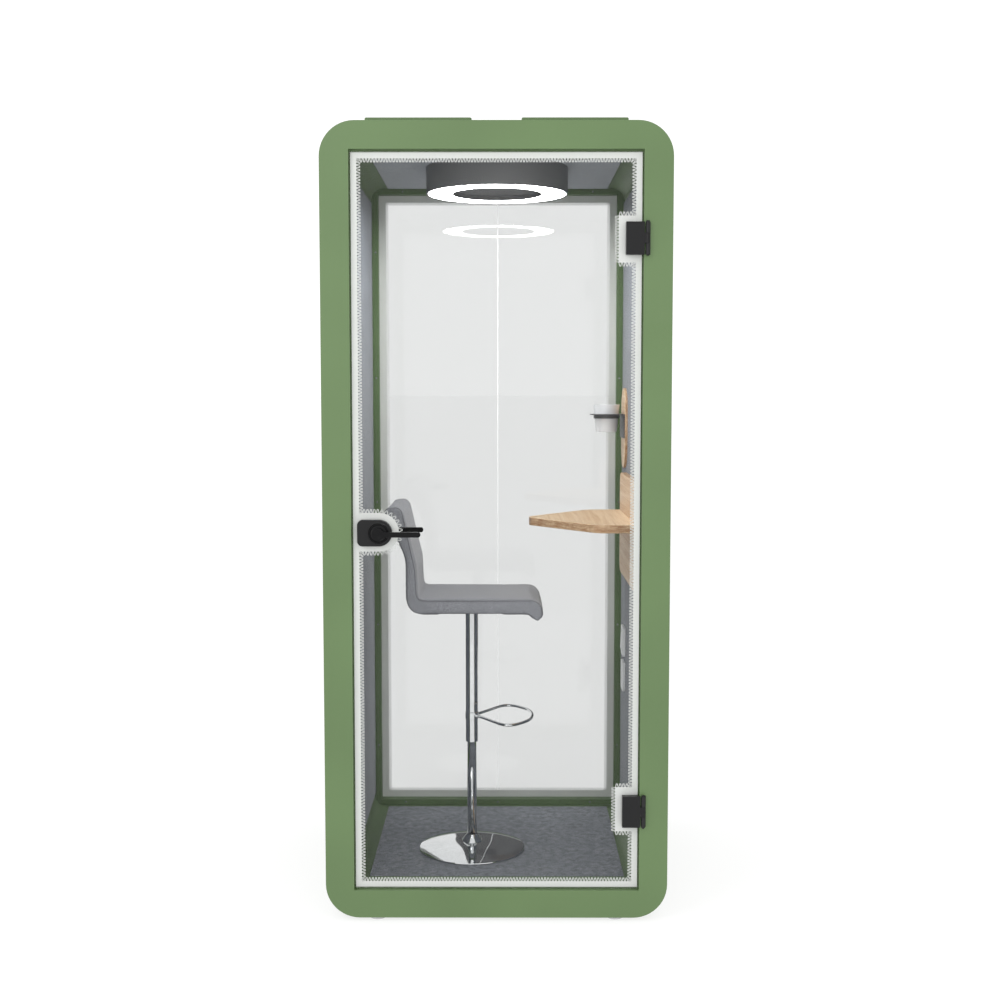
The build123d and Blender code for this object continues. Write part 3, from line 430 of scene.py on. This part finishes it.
def vertsIn(geometry):
    return [g for g in geometry if isinstance(g, bmesh.types.BMVert)]


def cubeBetween(low, high):
    bm = bmesh.new()
    bmesh.ops.create_cube(bm, size=1)
    bmesh.ops.scale(bm, verts=bm.verts, vec=high - low)
    bmesh.ops.translate(bm, verts=bm.verts, vec=(low + high) / 2)
    return bm


def tidyNormals(bm):
    bmesh.ops.remove_doubles(bm, verts=bm.verts, dist=weld)
    bmesh.ops.recalc_face_normals(bm, faces=bm.faces)


def softened(node, finish=None, edge=0.0006, steps=2):
    # a copy of a made part with its sharp edges broken
    source = nodes[node]
    bm = bmesh.new()
    bm.from_mesh(source.data)
    bmesh.ops.remove_doubles(bm, verts=bm.verts, dist=weld)
    if edge:
        roundOff(bm, sharpEdges(bm, 32), edge, steps)
    words = node.split("_")
    name = words[0] + "".join(w.title() for w in words[1:])
    slot = source.data.materials[0].name.split(".")[0]
    piece = asPiece(name, bm, source["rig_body"], slot, finish, smooth=50)
    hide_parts(node)
    if edge:
        evenNormals(piece)


def turned(name, profile, centre, body, slot, finish=None, axis="Z", steps=64, smooth=35):
    # profile: (radius, along) pairs spun about an axis through centre
    bm = bmesh.new()
    along = Vector((0, 0, 1)) if axis == "Z" else Vector((0, 1, 0))
    verts = [bm.verts.new(Vector((r, 0, 0)) + along * z) for r, z in profile]
    edges = [bm.edges.new(pair) for pair in zip(verts, verts[1:])]
    bmesh.ops.spin(bm, geom=verts + edges, cent=(0, 0, 0), axis=along, dvec=(0, 0, 0), angle=2 * pi,
                   steps=steps, use_merge=True, use_duplicate=False)
    bmesh.ops.translate(bm, verts=bm.verts, vec=centre)
    tidyNormals(bm)
    return asPiece(name, bm, body, slot, finish, smooth)


def curveMesh(name, curve):
    holder = linked(name, curve)
    bpy.context.view_layer.update()
    mesh = bpy.data.meshes.new_from_object(holder.evaluated_get(bpy.context.evaluated_depsgraph_get()))
    bpy.data.objects.remove(holder)
    bm = bmesh.new()
    bm.from_mesh(mesh)
    bpy.data.meshes.remove(mesh)
    return bm


# shell and fittings: made parts with broken edges, by width of the break
breaks = {
    "front_frame": 0.0012, "rear_frame": 0.0012, "roof_covers": 0.0006, "glazing_beads": 0.0008,
    "hinge_clamps": 0.0007, "hinge_jamb_leaves": 0.0006, "lock_cases": 0.0024, "strike_plate": 0.0002,
    "lamp_housing": 0.0006, "lamp_centre": 0.0006, "lamp_diffuser": 0.0004, "pot_bracket": 0.0006,
    "switch_plate": 0.0010, "socket_plate": 0.0010, "switch_rocker": 0.0008, "fan_housings": 0.0005,
    "ceiling_grilles": 0.0004, "cable_gland": 0.0003, "levelling_feet": 0.0004, "seat_plate": 0.0004,
    "lift_lever": 0.0004, "latch_bolt": 0.0005, "privacy_turn": 0.0005, "stool_tube": 0.0,
    "stool_sleeve": 0.0004, "gas_rod": 0.0, "hinge_screws": 0.0, "pot": 0.0004,
}
for node, edge in breaks.items():
    softened(node, edge=edge)
softened("hinge_pins", "black_metal", edge=0.0)
softened("desk_top", edge=0.0015, steps=3)
softened("desk_backboard", "wallWood", edge=0.0015, steps=3)
softened("pot_disc", "wallWood", edge=0.0012, steps=2)
softened("ceiling_felt", edge=0.0020, steps=3)
print("made parts softened")

# levers: a stepped hub, a rose ring and a round-edged bar
lever = {
    "hub": 0.0178, "neck": 0.0170, "chamfer": 0.0016, "gap": 0.0004, "waist": 0.86, "waistTop": 0.25,
    "shoulder": 0.32, "dishRim": 0.52, "dishFloor": 0.47, "dishDeep": 0.0006,
    "bar": 0.0075, "barFrom": 0.011, "shy": 0.0005, "deep": 0.0130, "tip": 0.98, "round": 0.0044,
}
roseRing = {"out": 0.0296, "in": 0.0235, "sunk": -0.0002, "rim": 0.0002, "wall": 0.0015, "top": 0.0025,
            "innerSlope": 0.0012, "outerSlope": 0.0018}
lockLow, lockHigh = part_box("lock_cases")
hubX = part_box("lever_outer")[0].x + lever["neck"]
hubZ = (lockLow.z + lockHigh.z) / 2
for node, side, rose in (("lever_outer", -1, lockLow.y), ("lever_inner", 1, lockHigh.y)):
    low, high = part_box(node)
    word = "Outer" if side < 0 else "Inner"
    far = low.y if side < 0 else high.y
    out = abs(far - rose)
    centre = (low.x + lever["neck"], rose, hubZ)
    full, waist = lever["hub"], lever["hub"] * lever["waist"]
    profile = [
        (0.0, lever["gap"]), (waist, lever["gap"]), (waist, out * lever["waistTop"]),
        (full, out * lever["shoulder"]), (full, out - lever["chamfer"]), (full - lever["chamfer"], out),
        (full * lever["dishRim"], out), (full * lever["dishFloor"], out - lever["dishDeep"]),
        (0.0, out - lever["dishDeep"]),
    ]
    turned("leverHub" + word, [(radius, side * z) for radius, z in profile], centre,
           "door_handle", "black_alloy", "leverBlack", axis="Y", steps=48)
    profile = [
        (roseRing["in"], roseRing["sunk"]), (roseRing["in"], roseRing["wall"]),
        (roseRing["in"] + roseRing["innerSlope"], roseRing["top"]),
        (roseRing["out"] - roseRing["outerSlope"], roseRing["top"]),
        (roseRing["out"], roseRing["rim"]), (roseRing["out"], roseRing["sunk"]),
    ]
    turned("roseRing" + word, [(radius, side * z) for radius, z in profile], centre,
           "door", "black_alloy", "leverBlack", axis="Y", steps=64)
    face, back = far - side * lever["shy"], far - side * lever["deep"]
    bm = cubeBetween(Vector((centre[0] + lever["barFrom"], min(face, back), hubZ - lever["bar"])),
                     Vector((high.x, max(face, back), hubZ + lever["bar"])))
    tips = [e for e in bm.edges
            if abs((e.verts[0].co - e.verts[1].co).y) > 0.001 and e.verts[0].co.x > centre[0] + 0.03]
    roundOff(bm, tips, lever["bar"] * lever["tip"], 6)
    roundOff(bm, sharpEdges(bm, 50), lever["round"], 4, clamp=True)
    tidyNormals(bm)
    bar = asPiece("leverBar" + word, bm, "door_handle", "black_alloy", "leverBlack", smooth=50)
    evenNormals(bar)
    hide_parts(node)
print("levers made")

# stool foot: a low dome that rises to a coned collar round the tube
foot = {
    "rim": 0.0050, "dome": 0.0260, "collarWide": 0.0330, "collarTop": 0.0185, "collarTall": 0.0210,
    "inset": 0.0015, "lip": 0.0012, "fit": 0.0002, "bulge": 0.85, "steps": 12,
}
baseLow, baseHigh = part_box("stool_base")
tubeLow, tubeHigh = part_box("stool_tube")
stoolAxis = ((tubeLow.x + tubeHigh.x) / 2, (tubeLow.y + tubeHigh.y) / 2)
bore = (tubeHigh.x - tubeLow.x) / 2 + foot["fit"]
wide = (baseHigh.x - baseLow.x) / 2
collarHigh = foot["dome"] + foot["collarTall"]
profile = [(0.0, 0.0), (wide - 0.004, 0.0), (wide - 0.0005, 0.0012), (wide, 0.0028)]
for i in range(foot["steps"] + 1):
    share = i / foot["steps"]
    start = wide - foot["inset"]
    rise = sin(share * pi / 2) ** foot["bulge"]
    profile.append((start - share * (start - foot["collarWide"]),
                    foot["rim"] + (foot["dome"] - foot["rim"]) * rise))
profile += [
    (foot["collarWide"], foot["dome"] + foot["lip"]), (foot["collarWide"] - 0.0008, foot["dome"] + 0.0022),
    (foot["collarTop"], collarHigh), (foot["collarTop"] - 0.0014, collarHigh + foot["lip"]),
    (bore, collarHigh + foot["lip"]), (bore, foot["dome"]),
]
stoolFoot = turned("stoolFoot", profile, (*stoolAxis, baseLow.z), "booth", "chrome", steps=96, smooth=24)
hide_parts("stool_base")

# plain nodes keep their shape and take a finish
for node in nodes.values():
    if not node.hide_render:
        slot = node.data.materials[0].name.split(".")[0]
        node.data.materials[0] = finishes[slot]

# wall felts
felt = {"cell": 0.016, "thick": 0.009, "edge": 0.0022, "lift": 0.0006, "wave": 22, "sink": 0.3}


def feltPanel(name, low, high, outward):
    # outward is the sign of X from the cabin to the wall
    bm = cubeBetween(low, high)
    roundOff(bm, bm.edges[:], felt["edge"], 3)
    for axis in (1, 2):
        count = int((high[axis] - low[axis]) / felt["cell"])
        for i in range(1, count):
            at, normal = Vector((0, 0, 0)), Vector((0, 0, 0))
            at[axis] = low[axis] + (high[axis] - low[axis]) * i / count
            normal[axis] = 1
            bmesh.ops.bisect_plane(bm, geom=bm.verts[:] + bm.edges[:] + bm.faces[:],
                                   plane_co=at, plane_no=normal)
    for v in bm.verts:
        v.co.x += outward * felt["lift"] * (noise.noise(v.co * felt["wave"]) - felt["sink"])
    return asPiece(name, bm, "booth", "wall_felt", smooth=60)


feltLow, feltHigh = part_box("wall_felts")
leftFelt = feltPanel("wallFeltLeft", feltLow,
                     Vector((feltLow.x + felt["thick"], feltHigh.y, feltHigh.z)), -1)
rightFelt = feltPanel("wallFeltRight",
                      Vector((feltHigh.x - felt["thick"], feltLow.y, feltLow.z)), feltHigh, 1)
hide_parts("wall_felts")

# carpet: a fine grid with a skirt, its top lowered by noise
pile = {"cell": 0.004, "height": 0.0018, "tuft": 210, "wear": 40, "wearShare": 0.2, "depth": 0.8, "skin": 0.001}
low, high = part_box("carpet")
bm = bmesh.new()
bmesh.ops.create_grid(bm, x_segments=int((high.x - low.x) / pile["cell"]),
                      y_segments=int((high.y - low.y) / pile["cell"]), size=0.5)
bmesh.ops.scale(bm, verts=bm.verts, vec=(high.x - low.x, high.y - low.y, 1))
bmesh.ops.translate(bm, verts=bm.verts, vec=((low.x + high.x) / 2, (low.y + high.y) / 2, high.z))
rim = [e for e in bm.edges if e.is_boundary]
skirt = bmesh.ops.extrude_edge_only(bm, edges=rim)["geom"]
bmesh.ops.translate(bm, verts=vertsIn(skirt), vec=(0, 0, low.z - high.z))
bmesh.ops.holes_fill(bm, edges=[e for e in bm.edges if e.is_boundary])
tidyNormals(bm)
for v in bm.verts:
    if v.co.z > high.z - pile["skin"]:
        worn = pile["wearShare"] * noise.noise(v.co * pile["wear"])
        v.co.z -= pile["height"] * (0.5 + 0.5 * noise.noise(v.co * pile["tuft"]) - worn) * pile["depth"]
carpet = asPiece("loopCarpet", bm, "booth", "carpet", smooth=80)
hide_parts("carpet")
print("felts and carpet laid")

# printed borders on the glass
teeth = {
    "pitch": 0.0092, "reach": 0.0110, "rearReach": 0.0090, "stroke": 0.0021, "thick": 0.0001,
    "shortest": 0.004, "edge": 0.001, "lift": 0.00005,
}


def printedBorder(name, body, slot, glass, path, reach):
    # a flat band between the glass edge and an inner path, with a row of teeth along the path
    left, right, bottom, top, y = glass
    y += teeth["lift"]
    left, right, bottom, top = (left + teeth["edge"], right - teeth["edge"],
                                bottom + teeth["edge"], top - teeth["edge"])
    bm = bmesh.new()
    edges = []
    for loop in ([(left, bottom), (right, bottom), (right, top), (left, top)], path):
        verts = [bm.verts.new((x, y, z)) for x, z in loop]
        edges += [bm.edges.new((verts[i], verts[(i + 1) % len(verts)])) for i in range(len(verts))]
    bmesh.ops.triangle_fill(bm, use_beauty=True, use_dissolve=False, edges=edges, normal=(0, -1, 0))
    for i, (x, z) in enumerate(path):
        nextX, nextZ = path[(i + 1) % len(path)]
        run = sqrt((nextX - x) ** 2 + (nextZ - z) ** 2)
        if run < teeth["shortest"]:
            continue
        count = max(1, round(run / teeth["pitch"]))
        alongX, alongZ = (nextX - x) / run, (nextZ - z) / run
        # the path goes clockwise seen from the front, so the opening is on its right
        acrossX, acrossZ = alongZ, -alongX
        for k in range(count):
            toe, tip, heel = ((k + share) * run / count for share in (0.0, 0.5, 1.0))
            for start, end in ((toe, tip), (heel, tip)):
                lean = teeth["stroke"] if start < end else -teeth["stroke"]
                corners = [(start, 0.0), (start + lean, 0.0), (end, reach), (end - lean, reach)]
                bm.faces.new([
                    bm.verts.new((x + alongX * s + acrossX * r, y, z + alongZ * s + acrossZ * r))
                    for s, r in corners
                ])
    bmesh.ops.recalc_face_normals(bm, faces=bm.faces)
    for face in bm.faces:
        if face.normal.y > 0:
            face.normal_flip()
    made = bmesh.ops.extrude_face_region(bm, geom=bm.faces[:])["geom"]
    bmesh.ops.translate(bm, verts=vertsIn(made), vec=(0, -teeth["thick"], 0))
    bmesh.ops.recalc_face_normals(bm, faces=bm.faces)
    asPiece(name, bm, body, slot, "frit", smooth=None)


def arc(cx, cz, radius, start, end, steps):
    angles = [radians(start + (end - start) * i / steps) for i in range(steps + 1)]
    return [(cx + radius * cos(angle), cz + radius * sin(angle)) for angle in angles]


doorBorder = {"band": 0.018, "hingeReach": 0.067, "hingeHalf": 0.066, "clampHalf": 0.046, "lockRadius": 0.056}
glassLow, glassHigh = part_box("door_glass")
clampLow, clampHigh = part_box("hinge_clamps")
left, right = glassLow.x + doorBorder["band"], glassHigh.x - doorBorder["band"]
bottom, top = glassLow.z + doorBorder["band"], glassHigh.z - doorBorder["band"]
patchX = glassHigh.x - doorBorder["hingeReach"]
# clockwise from the front: up the left side, across the top, down the right, back along the bottom
path = [(left, bottom), (left, hubZ - doorBorder["lockRadius"])]
path += arc(hubX, hubZ, doorBorder["lockRadius"], -90, 90, 14)
path += [(left, hubZ + doorBorder["lockRadius"]), (left, top), (right, top)]
for mid in (clampHigh.z - doorBorder["clampHalf"], clampLow.z + doorBorder["clampHalf"]):
    upper, lower = mid + doorBorder["hingeHalf"], mid - doorBorder["hingeHalf"]
    path += [(right, upper), (patchX, upper), (patchX, lower), (right, lower)]
path += [(right, bottom)]
printedBorder("doorPrint", "door", "door_pane",
              (glassLow.x, glassHigh.x, glassLow.z, glassHigh.z, glassHigh.y), path, teeth["reach"])

rearBorder = {"band": 0.024, "bead": 0.020}
beadLow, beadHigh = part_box("glazing_beads")
rearLow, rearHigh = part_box("rear_glass_left")
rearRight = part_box("rear_glass_right")[1].x
inX = beadHigh.x - rearBorder["bead"] - rearBorder["band"]
lowZ = beadLow.z + rearBorder["bead"] + rearBorder["band"]
topZ = beadHigh.z - rearBorder["bead"] - rearBorder["band"]
printedBorder("rearPrint", "booth", "rear_pane", (rearLow.x, rearRight, rearLow.z, rearHigh.z, rearLow.y),
              [(-inX, lowZ), (-inX, topZ), (inX, topZ), (inX, lowZ)], teeth["rearReach"])
print("borders printed")

# upholstered seat, in heights above the ground
seat = {
    "under": 0.862, "top": 0.905, "inset": 0.002, "bevel": 0.007, "voxel": 0.006,
    "pressure": 3.0, "stiff": 30, "bend": 2, "quality": 5, "frames": 12, "cap": 0.004,
    "sag": 0.002, "flatHalf": 0.10, "flatBelow": 0.875, "plateTop": 0.8622,
    "piping": 0.0014, "pipingIn": 0.0050,
}
# distance from the stool's axis, height, radius of the corner
seatCorners = [
    (0.180, seat["under"], 0.016), (0.208, seat["under"] - 0.026, 0.008),
    (0.227, seat["under"] - 0.008, 0.012), (0.219, seat["top"], 0.036),
    (-0.165, seat["top"], 0.018), (-0.170, seat["top"] + 0.105, 0.120),
    (-0.215, seat["top"] + 0.293, 0.022), (-0.273, seat["top"] + 0.284, 0.012),
    (-0.197, seat["top"] + 0.135, 0.120), (-0.197, seat["under"], 0.040),
]
seatLow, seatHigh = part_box("seat_pad")
sleeveLow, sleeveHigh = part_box("stool_sleeve")
sleeveX = (sleeveLow.x + sleeveHigh.x) / 2
seatHalf = (seatHigh.y - seatLow.y) / 2
seatMid = (seatHigh.y + seatLow.y) / 2


def roundedPath(corners, steps=6):
    # each corner of a closed outline turned into an arc
    made = []
    points = [Vector(corner[:2]) for corner in corners]
    for i, here in enumerate(points):
        radius = corners[i][2]
        before, after = points[i - 1], points[(i + 1) % len(points)]
        into, out = (here - before).normalized(), (after - here).normalized()
        turn = atan2(into.x * out.y - into.y * out.x, into.dot(out))
        cut = radius * abs(sin(turn / 2) / cos(turn / 2))
        side = Vector((-into.y, into.x)) * (1 if turn > 0 else -1)
        centre = here - into * cut + side * radius
        start = -side
        for k in range(steps + 1):
            angle = turn * k / steps
            spoke = Vector((start.x * cos(angle) - start.y * sin(angle),
                            start.x * sin(angle) + start.y * cos(angle)))
            made.append(centre + spoke * radius)
    return made


def applied(piece):
    # the mesh as its modifiers leave it
    graph = bpy.context.evaluated_depsgraph_get()
    made = bpy.data.meshes.new_from_object(piece.evaluated_get(graph))
    old = piece.data
    piece.modifiers.clear()
    piece.data = made
    bpy.data.meshes.remove(old)


outline = roundedPath([(sleeveX + x, z, radius) for x, z, radius in seatCorners])
bm = bmesh.new()
face = bm.faces.new([bm.verts.new((p.x, seatMid - seatHalf + seat["inset"], p.y)) for p in outline])
made = bmesh.ops.extrude_face_region(bm, geom=[face])["geom"]
bmesh.ops.translate(bm, verts=vertsIn(made), vec=(0, 2 * (seatHalf - seat["inset"]), 0))
bmesh.ops.recalc_face_normals(bm, faces=bm.faces)
ends = [e for e in bm.edges if abs(e.verts[0].co.y - e.verts[1].co.y) < 0.001]
roundOff(bm, ends, seat["bevel"], 4, clamp=True)
cushion = asPiece("seatCushion", bm, "stool_seat", "seat_fabric", smooth=60)
cushion.parent = None
cushion.matrix_world = Matrix.Identity(4)

remesh = cushion.modifiers.new("remesh", "REMESH")
remesh.mode = "VOXEL"
remesh.voxel_size = seat["voxel"]
bpy.context.view_layer.update()
applied(cushion)
# air pressure rounds the cover out, up to the cap
before = [v.co.copy() for v in cushion.data.vertices]
cloth = cushion.modifiers.new("cloth", "CLOTH")
cloth.settings.quality = seat["quality"]
cloth.settings.use_pressure = True
cloth.settings.uniform_pressure_force = seat["pressure"]
cloth.settings.effector_weights.gravity = 0
cloth.settings.tension_stiffness = seat["stiff"]
cloth.settings.compression_stiffness = seat["stiff"]
cloth.settings.bending_stiffness = seat["bend"]
cloth.point_cache.frame_start, cloth.point_cache.frame_end = 1, 20
for step in range(1, seat["frames"] + 1):
    scene.frame_set(step)
graph = bpy.context.evaluated_depsgraph_get()
settled = cushion.evaluated_get(graph).to_mesh()
after = [v.co.copy() for v in settled.vertices]
cushion.evaluated_get(graph).to_mesh_clear()
cushion.modifiers.clear()
scene.frame_set(1)
for v, a, b in zip(cushion.data.vertices, before, after):
    shift = b - a
    if shift.length > seat["cap"]:
        shift = shift.normalized() * seat["cap"]
    v.co = a + shift
bm = bmesh.new()
bm.from_mesh(cushion.data)
bmesh.ops.smooth_vert(bm, verts=bm.verts, factor=0.5, use_axis_x=True, use_axis_y=True, use_axis_z=True)
# the seat rests flat on its plate
for v in bm.verts:
    v.co.z = max(v.co.z, seatLow.z - seat["sag"])
    if abs(v.co.x - sleeveX) < seat["flatHalf"] and v.co.z < seat["flatBelow"]:
        v.co.z = max(v.co.z, seat["plateTop"])
bm.to_mesh(cushion.data)
bm.free()
fine = cushion.modifiers.new("fine", "SUBSURF")
fine.levels = fine.render_levels = 1
applied(cushion)
mapped = cushion.data.uv_layers.new(name="cloth")
for face in cushion.data.polygons:
    face.use_smooth = True
    nx, ny, nz = (abs(n) for n in face.normal)
    for loop in face.loop_indices:
        co = cushion.data.vertices[cushion.data.loops[loop].vertex_index].co
        if ny > max(nx, nz):
            mapped.data[loop].uv = (co.x, co.z)
        elif nz > nx:
            mapped.data[loop].uv = (co.x, co.y)
        else:
            mapped.data[loop].uv = (co.z, co.y)
if not cushion.data.materials:
    cushion.data.materials.append(finishes["seat_fabric"])
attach(cushion, "stool_seat")
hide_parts("seat_pad")
print("seat cushion:", len(cushion.data.polygons), "faces")

# piping cords along both seams of the cushion; their darker grey finish paints the shade of the seam crease
for side, word in ((-1, "Near"), (1, "Far")):
    y = seatMid + side * (seatHalf - seat["pipingIn"])
    points = [cushion.closest_point_on_mesh(Vector((p.x, y, p.y)))[1] for p in outline]
    curve = bpy.data.curves.new("seatPiping" + word, "CURVE")
    curve.dimensions = "3D"
    curve.bevel_depth = seat["piping"]
    curve.bevel_resolution = 2
    spline = curve.splines.new("POLY")
    spline.points.add(len(points) - 1)
    for spot, point in zip(spline.points, points):
        spot.co = (*point, 1)
    spline.use_cyclic_u = True
    bm = curveMesh("seatPiping" + word + "Curve", curve)
    asPiece("seatPiping" + word, bm, "stool_seat", "seat_fabric", "piping", smooth=60)

# footrest: one bent wire on a collar
rest = {"wire": 0.0045, "collar": 0.0014, "tall": 0.0120, "lip": 0.001, "fit": 0.0002}
restLow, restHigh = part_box("footrest")
restZ = (restLow.z + restHigh.z) / 2
reach = restHigh.x - rest["wire"] - stoolAxis[0]
spread = (restHigh.y - restLow.y) / 2 - rest["wire"]
root = sleeveHigh.x - stoolAxis[0]
# forward of the axis and to one side of it, from the collar out; the other side mirrors it
route = [
    (root * 0.75, 0.62 * root), (root * 1.5, 0.030), (0.072, 0.094), (0.103, 1.04 * spread),
    (0.135, 1.02 * spread), (0.170, 0.098), (reach - 0.005, 0.064), (reach + 0.003, 0.026),
]
wire = bpy.data.curves.new("footrestWire", "CURVE")
wire.dimensions = "3D"
wire.bevel_depth = rest["wire"]
wire.bevel_resolution = 4
wire.resolution_u = 6
line = wire.splines.new("NURBS")
spots = [(x, -y) for x, y in route] + [(x, y) for x, y in reversed(route)]
line.points.add(len(spots) - 1)
for point, (x, y) in zip(line.points, spots):
    point.co = (stoolAxis[0] + x, stoolAxis[1] + y, restZ, 1)
line.order_u = 4
line.use_endpoint_u = True
wire.use_fill_caps = True
footrest = asPiece("footrestWire", curveMesh("footrestCurve", wire), "stool_seat", "chrome", smooth=50)
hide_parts("footrest")
inner, outer, tall = root + rest["fit"], root + rest["collar"], rest["tall"]
band = [
    (inner, -tall), (outer - rest["lip"], -tall), (outer, -tall + rest["lip"]),
    (outer, tall - rest["lip"]), (outer - rest["lip"], tall), (inner, tall), (inner, -tall),
]
turned("footrestCollar", band, (*stoolAxis, restZ), "stool_seat", "chrome", steps=48)

# floor, light and sky
studio = {
    "floor": (0.25, 0.25, 0.25, 1), "floorHalf": 400, "glow": 0.76, "sky": 1.13,
    "cardLow": (-0.35, 3.2, 0.0), "cardHigh": (5.0, 3.25, 7.0),
}
bm = bmesh.new()
bmesh.ops.create_grid(bm, x_segments=1, y_segments=1, size=studio["floorHalf"])
floorMesh = bpy.data.meshes.new("studioFloor")
bm.to_mesh(floorMesh)
bm.free()
floor = linked("studioFloor", floorMesh)
f = Finish("paleFloor")
pale = f.blend(f.spread(f.noise(0.8, 2.0)), studio["floor"], scaled(studio["floor"], 0.99))
floorMesh.materials.append(f.done(f.surface(
    Base_Color=pale, Roughness=0.9, Specular_IOR_Level=0.1,
    Emission_Color=(1, 1, 1, 1), Emission_Strength=studio["glow"])))

world = bpy.data.worlds.new("studio")
scene.world = world
world.use_nodes = True
backdrop = world.node_tree.nodes["Background"].inputs
backdrop["Color"].default_value = (1, 1, 1, 1)
backdrop["Strength"].default_value = studio["sky"]

# a dark card seen only in the polished parts
bm = cubeBetween(Vector(studio["cardLow"]), Vector(studio["cardHigh"]))
cardMesh = bpy.data.meshes.new("darkCard")
bm.to_mesh(cardMesh)
bm.free()
card = linked("darkCard", cardMesh)
cardMesh.materials.append(plastic("cardGrey", colour(70, 70, 72), 0.9))
card.visible_camera = card.visible_diffuse = card.visible_transmission = card.visible_shadow = False


def softBox(name, place, target, size, power, mirrored=True):
    data = bpy.data.lights.new(name, "AREA")
    data.shape = "RECTANGLE"
    data.size, data.size_y = size
    data.energy = power
    lamp = linked(name, data)
    lamp.location = place
    lamp.rotation_euler = (Vector(target) - Vector(place)).to_track_quat("-Z", "Y").to_euler()
    lamp.visible_glossy = mirrored


softBox("keyLight", (-2.2, -3.4, 3.2), (0, 0, 1.1), (1.2, 1.2), 30)
softBox("fillLight", (0.2, -4.2, 1.6), (0, 0, 1.2), (2.4, 2.4), 60, mirrored=False)

bpy.context.view_layer.update()
